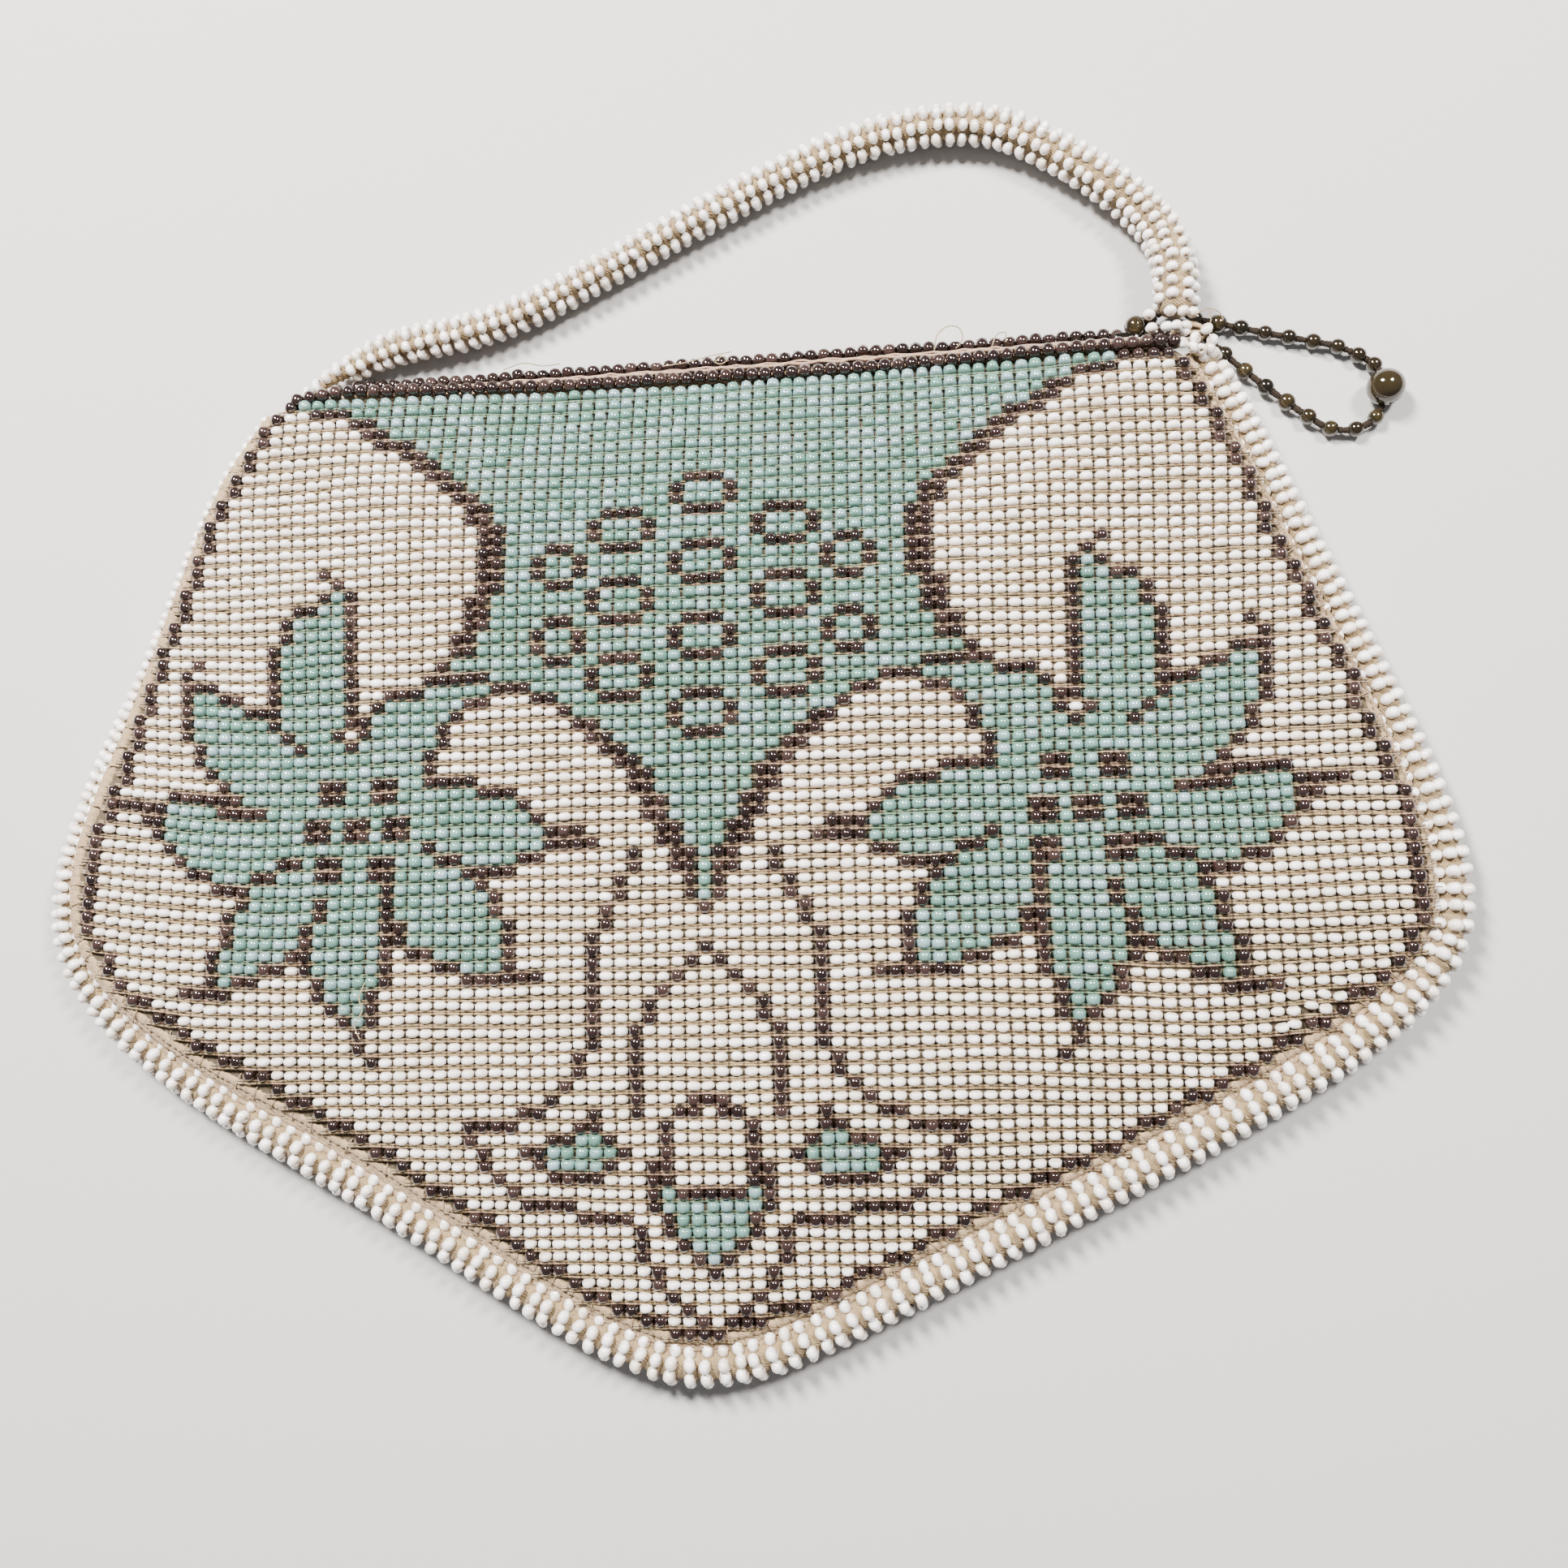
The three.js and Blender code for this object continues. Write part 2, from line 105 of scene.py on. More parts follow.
# Spacing of the side rope's rows of beads, and where its bare seam lies in degrees up from outside.
SIDE_PITCHES = [(0, 1.66), (0.17, 1.66), (0.24, 2.4), (0.8, 2.35), (0.92, 2.05), (1, 1.9)]
SIDE_SEAM = [(0, 70), (0.09, 78), (0.15, 130), (0.2, 160), (0.28, 178), (1, 174)]
SIDE_CORE_RADIUS = 2.2
# Middle line of the handle and its thickness as a share of HANDLE_RADIUS.
HANDLE_RADIUS = 3.5
HANDLE_LINE = [
    (-66.8, 82.4, 0.42), (-61.2, 85.7, 0.6), (-54.9, 88.3, 0.78), (-48.7, 89.8, 0.85), (-40.2, 91.0, 0.86),
    (-32, 93.3, 0.86), (-19.2, 99.1, 0.86), (-10, 103.6, 0.87), (-0.4, 108.2, 0.88), (10.6, 113.1, 0.88),
    (20, 116.5, 0.9), (31, 118.4, 0.92), (41.5, 117.4, 0.95), (51.8, 111.7, 0.97), (57.8, 107.0, 1),
    (62.8, 102.1, 1), (65.6, 96.9, 1), (66.4, 91.0, 1), (66.2, 84.9, 1),
]
HANDLE_CLEAR = 0.1
HANDLE_END_LIFT = (0.93, 2.64, 3.1)
HANDLE_SEAM = [(0, 70), (0.12, 86), (0.3, 90), (0.6, 86), (0.78, 80), (0.9, 58), (1, 46)]
HANDLE_PITCH = 2.0
HANDLE_BEAD_SCALE = 0.9
HANDLE_CORE_DEPTH = 1.15
# String of beads that hangs from the zip.
STRING_HEIGHT = 1.2
STEM = [(61.3, 88.1), (63.6, 88.3), (66.7, 87.6), (69.8, 86.0)]
# Where the stem's first two beads lie on the zip's end.
STEM_START = [(60.9, 84.9, 2.4), (63.1, 86.2, 1.9)]
UPPER_STRAND = [(73, 85), (76.2, 84.1), (79.6, 83.1), (82.9, 82.2), (86.3, 81.3), (89.7, 80.3), (92.5, 78.8),
                (94.6, 77.2)]
LARGE_BEAD = (95.6, 73.2)
LOWER_STRAND = [(94.3, 69.3), (91.4, 67.7), (87.9, 68.0), (84.9, 70.0), (82.0, 72.4), (79.2, 74.9),
                (76.4, 77.5), (73.7, 80.2), (71.4, 83.0)]


# Pattern of the front, drawn with lines of beads.

PATTERN_MIDDLE = -31
# Lines of bronze beads as (beads from the middle, row); each is drawn on both sides.
VALLEY = [
    ([(-29, -7), (-28, -7)], 2),
    ([(-26, -6), (-25, -5), (-23, -4), (-22, -3), (-19, 0), (-17, 2), (-17, 3), (-16, 4), (-16, 9),
      (-17, 10), (-17, 12), (-18, 13), (-18, 14)], 2),
    ([(-19, 15), (-20, 16), (-16, 16), (-15, 17), (-13, 17), (-12, 18), (-11, 18), (-10, 19)], 1),
    ([(-9, 20), (-5, 24), (-5, 25), (-4, 26), (-4, 27), (-3, 28), (-3, 29), (-2, 30), (-2, 31)], 2),
    ([(-1, 32), (-1, 33), (0, 34)], 1),
]
SHIELD = [
    [(5, 30), (5, 31), (6, 32), (6, 33), (7, 34), (7, 35), (8, 36), (8, 44), (9, 45), (9, 46), (11, 48),
     (12, 49), (13, 49), (14, 50), (17, 50), (17, 51), (16, 52), (16, 53), (14, 55), (13, 56), (10, 56),
     (9, 57), (6, 57), (5, 58), (5, 60), (4, 61), (4, 62), (0, 66)],
    [(0, 37), (3, 40), (4, 41), (4, 42), (5, 43), (5, 49)],
    [(0, 48), (1, 48), (2, 49), (3, 50), (3, 54), (4, 53), (4, 56), (3, 57), (3, 58), (0, 61)],
    [(1, 49), (1, 49)],
    [(0, 55), (2, 55)],
    [(8, 49), (8, 50), (9, 50), (10, 51), (11, 51), (12, 52), (13, 52), (12, 53), (11, 54), (8, 54),
     (7, 53), (6, 52), (7, 51), (8, 50)],
]
# Rings inside the valley: left bead, top row and width.
RINGS = [(-2, 0, 5), (-2, 6, 5), (-2, 12, 5), (-2, 18, 5), (-8, 3, 5), (-8, 9, 5), (-8, 15, 5),
         (-12, 6, 4), (-12, 12, 4)]
# Outline of the left flower as (column, row); the right one is its mirror image.
FLOWER = [
    [(-59, 7), (-58, 8), (-59, 9), (-60, 10), (-61, 10), (-62, 11), (-62, 12), (-63, 13), (-63, 19),
     (-61, 21)],
    [(-58, 8), (-57, 9), (-57, 19), (-58, 20)],
    [(-57, 21), (-56, 20), (-56, 19), (-54, 17), (-52, 17), (-51, 16)],
    [(-69, 14), (-70, 15), (-70, 20), (-69, 21), (-69, 22), (-67, 24)],
    [(-70, 16), (-68, 16), (-67, 17), (-66, 17), (-65, 18), (-63, 18)],
    [(-47, 18), (-48, 18), (-50, 20), (-50, 21), (-51, 22), (-51, 24), (-48, 24), (-47, 25), (-45, 25),
     (-43, 27), (-42, 28), (-40, 28), (-39, 29), (-42, 29), (-43, 30), (-44, 30), (-45, 31), (-48, 31),
     (-49, 30), (-50, 30), (-51, 29)],
    [(-48, 31), (-47, 32), (-46, 33), (-46, 34), (-45, 35), (-45, 38)],
    [(-43, 39), (-48, 39), (-49, 38), (-50, 38), (-51, 37), (-52, 37), (-53, 36), (-54, 36), (-54, 35),
     (-53, 35)],
    [(-54, 32), (-54, 39), (-55, 40), (-55, 42), (-56, 43), (-56, 44), (-55, 45)],
    [(-59, 33), (-59, 34), (-60, 35), (-60, 38), (-59, 39), (-59, 40), (-56, 43)],
    [(-61, 37), (-62, 38), (-63, 38), (-64, 39), (-65, 39), (-66, 40), (-69, 40)],
    [(-61, 30), (-62, 30), (-63, 31), (-64, 31), (-65, 32), (-67, 32)],
    [(-65, 33), (-66, 34), (-66, 36), (-67, 37), (-67, 39)],
    [(-75, 26), (-72, 26), (-71, 25), (-66, 25)],
    [(-67, 26), (-64, 26)],
    [(-73, 27), (-72, 27), (-72, 28), (-69, 31), (-68, 31), (-67, 32)],
]
# Upper left beads of the spots of two by two in each flower's middle.
SPOTS = [(-59, 24), (-55, 24), (-60, 27), (-57, 27), (-54, 27), (-59, 30), (-55, 30),
         (-7, 24), (-3, 24), (-8, 27), (-5, 27), (-2, 27), (-8, 30), (-3, 30)]
# How far from the middle the blue of the two uppermost rows reaches.
VALLEY_REACH = {-8: 31, -7: 29}


def draw_line(cells, points, width=1):
    """Adds the beads under a drawn line of (column, row) points."""
    for (c0, r0), (c1, r1) in zip(points, points[1:]):
        steps = max(abs(c1 - c0), abs(r1 - r0), 1)
        for i in range(steps + 1):
            column = round(c0 + (c1 - c0) * i / steps)
            row = round(r0 + (r1 - r0) * i / steps)
            cells.update((column + k, row) for k in range(width))


def draw_ring(cells, left, top, wide):
    """Adds a ring of beads four rows high with open corners."""
    right = left + wide - 1
    draw_line(cells, [(left + 1, top), (right - 1, top)])
    draw_line(cells, [(left + 1, top + 3), (right - 1, top + 3)])
    draw_line(cells, [(left, top + 1), (left, top + 2)])
    draw_line(cells, [(right, top + 1), (right, top + 2)])


def bronze_lines():
    """All beads of the pattern's bronze lines; the valley and shield are drawn once for both sides."""
    half = set()
    for points, width in VALLEY:
        draw_line(half, points, width)
    for points in SHIELD:
        draw_line(half, points)
    for left, top, wide in RINGS:
        draw_ring(half, left, top, wide)
    cells = {(PATTERN_MIDDLE + side * u, row) for u, row in half for side in (-1, 1)}
    flower = set()
    for points in FLOWER:
        draw_line(flower, points)
    cells |= flower | {(2 * PATTERN_MIDDLE - column, row) for column, row in flower}
    for column, row in SPOTS:
        cells |= {(column + i, row + k) for i in (0, 1) for k in (0, 1)}
    return cells


def fill_blue(bronze):
    """Spreads blue from a bead of each closed field up to the bronze lines."""
    starts = [(-31, -7), (-57, 26), (-5, 26), (-31, 57), (-23, 52), (-39, 52)]
    for left, top, wide in RINGS:
        starts += [(PATTERN_MIDDLE + left + 1, top + 1), (PATTERN_MIDDLE - left - 1, top + 1)]
    blue = set()
    todo = starts
    while todo:
        column, row = todo.pop()
        beyond = abs(column - PATTERN_MIDDLE) > VALLEY_REACH.get(row, 60)
        if (column, row) in bronze or (column, row) in blue or row < FIRST_ROW or beyond:
            continue
        blue.add((column, row))
        todo += [(column - 1, row), (column + 1, row), (column, row - 1), (column, row + 1)]
    return blue


# Lines and surfaces.

def from_table(table, share):
    """The value at a share of a line, between a table's (share, value) pairs."""
    return np.interp(share, *zip(*table))


def run_along(points):
    """Distance from the start of a line to each of its points."""
    return np.concatenate([[0], np.cumsum(np.linalg.norm(np.diff(points, axis=0), axis=1))])


def catmull_rom(points, count):
    """Points at even distances along a smooth line through the given ones."""
    p = np.array(points, float)
    p = np.vstack([2 * p[0] - p[1], p, 2 * p[-1] - p[-2]])
    dense = []
    for a, b, c, d in zip(p, p[1:], p[2:], p[3:]):
        ta, tb, tc = (max(np.linalg.norm(v) ** 0.5, 1e-6) for v in (b - a, c - b, d - c))
        m1 = (b - a) / ta - (c - a) / (ta + tb) + (c - b) / tb
        m2 = (c - b) / tb - (d - b) / (tb + tc) + (d - c) / tc
        m1, m2 = m1 * tb, m2 * tb
        t = np.linspace(0, 1, 24, endpoint=False)[:, None]
        dense.append((2 * t ** 3 - 3 * t ** 2 + 1) * b + (t ** 3 - 2 * t ** 2 + t) * m1
                     + (3 * t ** 2 - 2 * t ** 3) * c + (t ** 3 - t ** 2) * m2)
    dense = np.vstack(dense + [p[-2:-1]])
    run = run_along(dense)
    at = np.linspace(0, run[-1], count)
    return np.stack([np.interp(at, run, dense[:, k]) for k in range(p.shape[1])], 1)


def directions(points):
    """Unit directions along a line of points."""
    d = np.gradient(points, axis=0)
    return d / np.linalg.norm(d, axis=1, keepdims=True)


def move_inwards(line, distance):
    """A flat line round the bag, moved towards the bag's middle."""
    t = directions(line)
    return line + np.stack([-t[:, 1], t[:, 0]], 1) * np.reshape(distance, (-1, 1))


def side_line():
    """Points along the middle of the side rope."""
    return [(x * HALF_WIDTH, y * (TOP_RISE if y > 0 else TIP_DROP)) for x, y in SIDE_LINE]


def wall_outline():
    """The front wall's outline as (x, y, height of its outer face)."""
    line = catmull_rom(side_line(), SIDE_POINTS)
    angle = np.radians(from_table(SEAT, np.linspace(0, 1, SIDE_POINTS)))
    height = ROPE_RADIUS + ROPE_CLEAR * np.sin(angle) + WALL
    sides = np.column_stack([move_inwards(line, ROPE_CLEAR * np.cos(angle)), height])
    left, right = np.array(FRONT_TOP)
    top = []
    for share in np.linspace(0, 1, 25):
        p = right + (left - right) * share
        rise = sum((h - TOP_EDGE_HEIGHT) * math.exp(-(np.linalg.norm(p - corner) / CORNER_REACH) ** 2)
                   for corner, h in ((right, height[-1]), (left, height[0])))
        top.append((p[0], p[1], TOP_EDGE_HEIGHT + rise))
    return np.vstack([sides, top])


SIDE_POINTS = 133
OUTLINE = wall_outline()


def bead_outline():
    """The outline moved inwards to where the outermost beads may lie."""
    inset = from_table(EDGE_INSET, np.linspace(0, 1, SIDE_POINTS))
    return np.vstack([move_inwards(OUTLINE[:SIDE_POINTS, :2], inset), OUTLINE[SIDE_POINTS:, :2]])


def wall_height(x, y):
    """Height of the front wall's outer face."""
    x, y = np.asarray(x, float), np.asarray(y, float)
    out = OUTLINE[:, :2] - CROWN
    turn = np.arctan2(out[:, 1], out[:, 0])
    order = np.argsort(turn)
    reach, edge = np.hypot(*out.T)[order], OUTLINE[order, 2]
    here = np.arctan2(y - CROWN[1], x - CROWN[0])
    far = np.interp(here, turn[order], reach, period=2 * math.pi)
    low = np.interp(here, turn[order], edge, period=2 * math.pi)
    u = np.clip(np.hypot(x - CROWN[0], y - CROWN[1]) / far, 0, 1.05)
    z = low + (DOME_HEIGHT - low) * (1 - u ** DOME_POWER)
    for cx, cy, radius, height in DENTS:
        away = ((x - cx) ** 2 + (y - cy) ** 2) / radius ** 2
        z = z + height * np.exp(-away) * np.clip(6 * (1 - u), 0, 1)
    return z


def wall_frames(x, y):
    """Each place's own axes on the front wall: across, along and outwards."""
    step = 0.6
    slope_x = (wall_height(x + step, y) - wall_height(x - step, y)) / (2 * step)
    slope_y = (wall_height(x, y + step) - wall_height(x, y - step)) / (2 * step)
    out = np.stack([-slope_x, -slope_y, np.ones_like(x)], 1)
    out /= np.linalg.norm(out, axis=1, keepdims=True)
    across = np.stack([np.ones_like(x), np.zeros_like(x), np.zeros_like(x)], 1)
    across -= (across * out).sum(1, keepdims=True) * out
    across /= np.linalg.norm(across, axis=1, keepdims=True)
    return np.stack([across, np.cross(out, across), out], 1)


def outline_distance(x, y, outline):
    """Distance from each place to a closed outline, negative outside."""
    a = outline[:, :2]
    b = np.roll(a, -1, axis=0)
    p = np.stack([x, y], 1)[:, None]
    ab = (b - a)[None]
    t = np.clip(((p - a) * ab).sum(2) / np.maximum((ab ** 2).sum(2), 1e-9), 0, 1)
    near = np.linalg.norm(p - (a + t[..., None] * ab), axis=2).min(1)
    crosses = (a[:, 1] > y[:, None]) != (b[:, 1] > y[:, None])
    rise = np.where((b - a)[:, 1] == 0, 1e-9, (b - a)[:, 1])
    along = a[:, 0] + (y[:, None] - a[:, 1]) * (b - a)[:, 0] / rise
    inside = (crosses & (x[:, None] < along)).sum(1) % 2 == 1
    return np.where(inside, near, -near)


def bead_places(columns, rows):
    """Where the pattern's beads lie on the front: the rows sag and spread a little, as woven by hand."""
    x = (columns - COLUMN_AT_ZERO) * COLUMN_PITCH
    # The columns stand wider apart near the sides, except round the flowers' middle row.
    x = x * (1 + 0.028 * np.abs(x) / 70 * np.clip((np.abs(rows - 24) / 20) ** 1.2, 0, 1.2))
    y = np.interp(rows, list(ROW_LEVELS), list(ROW_LEVELS.values()))
    # The rows climb at the left edge and beside the right flower, and sag below it.
    y = y + 1.5 * np.clip((-62 - columns) / 13, 0, 1.4) ** 1.6 * np.clip((rows + 2) / 14, 0, 1.6)
    y = y + 1.3 * np.clip((columns - 2) / 9, 0, 1.3) * np.exp(-((rows - 17) / 9.0) ** 2)
    y = y - 1.4 * np.exp(-((columns - 3) / 9.0) ** 2 - ((rows - 43) / 7.0) ** 2)
    y = y - 0.9 * np.exp(-((columns + 10) / 14.0) ** 2 - ((rows - 57) / 7.0) ** 2)
    # Small waves.
    y = y + 0.12 * np.sin(columns * 0.21 + rows * 0.9) + 0.08 * np.sin(columns * 0.53 - rows * 0.37)
    return x, y


def lattice():
    """All bead cells that lie inside the front wall's edge."""
    columns, rows = np.meshgrid(np.arange(-82, 24), np.arange(FIRST_ROW, LAST_ROW + 1))
    columns, rows = columns.ravel(), rows.ravel()
    x, y = bead_places(columns, rows)
    keep = outline_distance(x, y, bead_outline()) > 0.0
    return columns[keep], rows[keep], x[keep], y[keep]


def cell_kinds(columns, rows):
    """Colour of each bead: white, blue, or bronze on the drawn lines and round the edge."""
    bronze = bronze_lines()
    blue = fill_blue(bronze)
    cells = set(zip(columns.tolist(), rows.tolist()))
    kinds = []
    for column, row in zip(columns.tolist(), rows.tolist()):
        beside = [(column - 1, row), (column + 1, row), (column, row + 1)]
        edge = any(cell not in cells for cell in beside)
        corner = row == FIRST_ROW and -1 <= column <= 5
        if (column, row) in bronze or edge or corner:
            kinds.append(BRONZE)
        else:
            kinds.append(BLUE if (column, row) in blue else WHITE)
    return np.array(kinds)


# Modelling helpers.

def deselect_all():
    """Leaves edit mode and clears the selection."""
    if bpy.context.mode != "OBJECT":
        bpy.ops.object.mode_set(mode="OBJECT")
    bpy.ops.object.select_all(action="DESELECT")


def pick_faces(test):
    """In edit mode, selects the faces of the active mesh that pass the test."""
    mesh = bmesh.from_edit_mesh(bpy.context.edit_object.data)
    mesh.select_mode = {"FACE"}
    bpy.ops.mesh.select_mode(type="FACE")
    for face in mesh.faces:
        face.select_set(bool(test(face)))
    mesh.select_flush_mode()
    bmesh.update_edit_mesh(bpy.context.edit_object.data)


def take_shape(piece):
    """Reads a modelled bead's corners and faces and clears it away, ready to be copied."""
    bpy.ops.object.mode_set(mode="OBJECT")
    mesh = piece.data
    corners = np.array([v.co for v in mesh.vertices])
    faces = [list(f.vertices) for f in mesh.polygons]
    bpy.data.objects.remove(piece)
    bpy.data.meshes.remove(mesh)
    return {"corners": corners, "faces": faces}


def model_seed_bead(sides, barrel, inset, shoulder, hole=0.0):
    """A seed bead one unit in radius along Y, with a short barrel and sloping shoulders.

    A woven bead's hole is filled by its thread, so its ends stay closed; a loose one gets its hole.
    """
    deselect_all()
    bpy.ops.mesh.primitive_cylinder_add(vertices=sides, radius=1.0, depth=barrel, end_fill_type="NGON",
                                        rotation=(math.radians(90), 0, 0))
    piece = bpy.context.object
    bpy.ops.object.transform_apply(location=True, rotation=True, scale=True)
    bpy.ops.object.mode_set(mode="EDIT")
    pick_faces(lambda face: abs(face.normal.y) > 0.9)
    bpy.ops.mesh.inset(thickness=inset, depth=shoulder, use_individual=True)
    if hole > 0:
        bpy.ops.mesh.inset(thickness=1.0 - inset - hole, depth=0.06, use_individual=True)
        bpy.ops.mesh.bridge_edge_loops()
    bpy.ops.mesh.select_all(action="SELECT")
    bpy.ops.mesh.normals_make_consistent(inside=False)
    return take_shape(piece)


def model_round_bead(segments, rings, hole):
    """A ball one unit in radius with a hole along Y."""
    deselect_all()
    bpy.ops.mesh.primitive_uv_sphere_add(segments=segments, ring_count=rings, radius=1.0,
                                         rotation=(math.radians(90), 0, 0))
    piece = bpy.context.object
    bpy.ops.object.transform_apply(location=True, rotation=True, scale=True)
    bpy.ops.object.mode_set(mode="EDIT")
    limit = math.cos(math.asin(hole))
    pick_faces(lambda face: abs(face.calc_center_median().y) > limit)
    bpy.ops.mesh.delete(type="FACE")
    bpy.ops.mesh.select_mode(type="EDGE")
    bpy.ops.mesh.select_all(action="DESELECT")
    bpy.ops.mesh.select_non_manifold()
    bpy.ops.mesh.bridge_edge_loops()
    bpy.ops.mesh.select_all(action="SELECT")
    bpy.ops.mesh.normals_make_consistent(inside=False)
    return take_shape(piece)


def finish_piece(name, corners, faces, material):
    """Makes a smooth piece from corners in millimetres and hands it to the frame."""
    mesh = bpy.data.meshes.new(name)
    mesh.from_pydata((np.asarray(corners) * MM).tolist(), [], faces)
    mesh.validate()
    mesh.shade_smooth()
    piece = bpy.data.objects.new(name, mesh)
    bpy.context.scene.collection.objects.link(piece)
    mesh.materials.append(material)
    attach(piece, "root")
    return piece


def paint(piece, name, values):
    """Stores one number for each corner of a piece."""
    layer = piece.data.attributes.new(name, "FLOAT", "POINT")
    layer.data.foreach_set("value", np.asarray(values, np.float32))


def string_beads(name, bead, centres, frames, sizes, material, tones=None):
    """Joins copies of a bead into one piece; frames hold each bead's own axes as rows."""
    count, corners = len(centres), bead["corners"]
    sizes = np.broadcast_to(np.asarray(sizes, float), (count, 3))
    points = centres[:, None] + np.einsum("nvk,nkj->nvj", corners[None] * sizes[:, None], frames)
    faces = [[v + i * len(corners) for v in face] for i in range(count) for face in bead["faces"]]
    piece = finish_piece(name, points.reshape(-1, 3), faces, material)
    tones = random.random(count) if tones is None else tones
    paint(piece, "tone", np.repeat(tones, len(corners)))
    # The end mask marks each bead's ends, where the glass materials paint shade.
    paint(piece, "end", np.tile(np.abs(corners[:, 1]) > 0.6 * np.abs(corners[:, 1]).max(), count))
    return piece


def jitter(frames, turn=3.0, tilt=5.0):
    """Turns each bead a little about its own outward and across axes."""
    count = len(frames)
    a = np.radians(random.normal(0, turn, count))
    b = np.radians(random.normal(0, tilt, count))
    zero, one = np.zeros(count), np.ones(count)
    about_out = np.stack([np.cos(a), np.sin(a), zero, -np.sin(a), np.cos(a), zero, zero, zero, one], 1)
    about_across = np.stack([one, zero, zero, zero, np.cos(b), np.sin(b), zero, -np.sin(b), np.cos(b)], 1)
    return about_out.reshape(-1, 3, 3) @ about_across.reshape(-1, 3, 3) @ frames


def tube(points, radius, sides, up=(0.0, 0.0, 1.0)):
    """Corners and faces of a closed round thread along a line of points."""
    points = np.asarray(points, float)
    along = directions(points)
    side = np.cross(along, up)
    side /= np.maximum(np.linalg.norm(side, axis=1, keepdims=True), 1e-9)
    rise = np.cross(side, along)
    angle = np.arange(sides) * 2 * math.pi / sides
    radius = np.broadcast_to(np.asarray(radius, float), (len(points),))[:, None, None]
    turn_side, turn_rise = np.cos(angle)[None, :, None], np.sin(angle)[None, :, None]
    ring = turn_side * side[:, None] + turn_rise * rise[:, None]
    corners = (points[:, None] + radius * ring).reshape(-1, 3)
    faces = []
    for i in range(len(points) - 1):
        for k in range(sides):
            a, b = i * sides + k, i * sides + (k + 1) % sides
            faces.append([a, a + sides, b + sides, b])
    faces.append(list(range(sides)))
    last = (len(points) - 1) * sides
    faces.append([last + k for k in reversed(range(sides))])
    return corners, faces


def join_tubes(name, tubes, material, tints=0.0):
    """Joins threads into one piece; tints is one number, or a list with each thread's numbers."""
    corners, faces, total = [], [], 0
    for points, ring_faces in tubes:
        corners.append(points)
        faces += [[v + total for v in face] for face in ring_faces]
        total += len(points)
    piece = finish_piece(name, np.vstack(corners), faces, material)
    paint(piece, "tint", np.concatenate(tints) if isinstance(tints, list) else np.full(total, tints))
    return piece


# Materials.

def node(tree, kind, place=(0, 0), **settings):
    """Adds a node with the given settings."""
    n = tree.nodes.new(kind)
    n.location = place
    for key, value in settings.items():
        setattr(n, key, value)
    return n


def new_group(name, inputs, outputs):
    """An empty node group with number sockets; each input comes with its usual value."""
    group = bpy.data.node_groups.new(name, "ShaderNodeTree")
    for socket, value in inputs.items():
        made = group.interface.new_socket(socket, in_out="INPUT", socket_type="NodeSocketFloat")
        made.default_value = value
    for socket in outputs:
        group.interface.new_socket(socket, in_out="OUTPUT", socket_type="NodeSocketFloat")
    return group, node(group, "NodeGroupInput", (-700, 0)), node(group, "NodeGroupOutput", (500, 0))


def feed(tree, values, sockets):
    """Links each value to its socket, or sets it there if it is a number."""
    for value, socket in zip(values, sockets):
        if isinstance(value, float):
            socket.default_value = value
        else:
            tree.links.new(value, socket)


def calculate(tree, operation, *values, place=(0, 0)):
    """Adds a sum on numbers and outputs, and gives its result."""
    n = node(tree, "ShaderNodeMath", place, operation=operation)
    feed(tree, values, n.inputs)
    return n.outputs[0]


def pattern(tree, kind, scale, place, settings, **choices):
    """A noise or wave pattern in the piece's own coordinates."""
    n = node(tree, kind, place, **choices)
    coord = node(tree, "ShaderNodeTexCoord", (-700, 200))
    tree.links.new(coord.outputs["Object"], n.inputs["Vector"])
    tree.links.new(scale, n.inputs["Scale"])
    for key, value in settings.items():
        n.inputs[key].default_value = value
    return n.outputs["Fac"]


def speckle_group():
    """Fine cloudy variation and tiny pits for glass, as a mask and a height."""
    group, start, end = new_group("glass_speckle", {"Scale": 900.0}, ["Mask", "Height"])
    finer = calculate(group, "MULTIPLY", start.outputs["Scale"], 2.6, place=(-450, -200))
    cloud = pattern(group, "ShaderNodeTexNoise", start.outputs["Scale"], (-300, 150), {"Detail": 3.0},
                    noise_dimensions="3D")
    pits = pattern(group, "ShaderNodeTexNoise", finer, (-300, -150), {"Detail": 1.0}, noise_dimensions="3D")
    feed(group, (cloud, pits), (end.inputs["Mask"], end.inputs["Height"]))
    return group


def fibre_group():
    """Twisted cotton yarn: fine slanted plies with fuzz, as a mask and a height."""
    group, start, end = new_group("cotton_fibre", {"Scale": 1400.0}, ["Mask", "Height"])
    plies = pattern(group, "ShaderNodeTexWave", start.outputs["Scale"], (-300, 200),
                    {"Distortion": 3.0, "Detail": 2.0}, wave_type="BANDS", bands_direction="DIAGONAL")
    fuzz = pattern(group, "ShaderNodeTexNoise", start.outputs["Scale"], (-300, -150), {"Detail": 4.0},
                   noise_dimensions="3D")
    height = calculate(group, "MULTIPLY_ADD", plies, 0.6, fuzz, place=(0, 100))
    feed(group, (fuzz, height), (end.inputs["Mask"], end.inputs["Height"]))
    return group


def column_lines_group():
    """Thin lines between the columns, from the column number stored along a thread: a mask for the warps and
    the painted shade between the beads.
    """
    group, start, end = new_group("column_lines", {"Column": 0.0}, ["Mask"])
    part = calculate(group, "FRACT", start.outputs["Column"], place=(-400, 0))
    away = calculate(group, "SUBTRACT", part, 0.5, place=(-200, 0))
    line = node(group, "ShaderNodeMapRange", (200, 0))
    feed(group, (calculate(group, "ABSOLUTE", away), 0.04, 0.14),
         (line.inputs["Value"], line.inputs["From Min"], line.inputs["From Max"]))
    feed(group, (line.outputs["Result"],), (end.inputs["Mask"],))
    return group


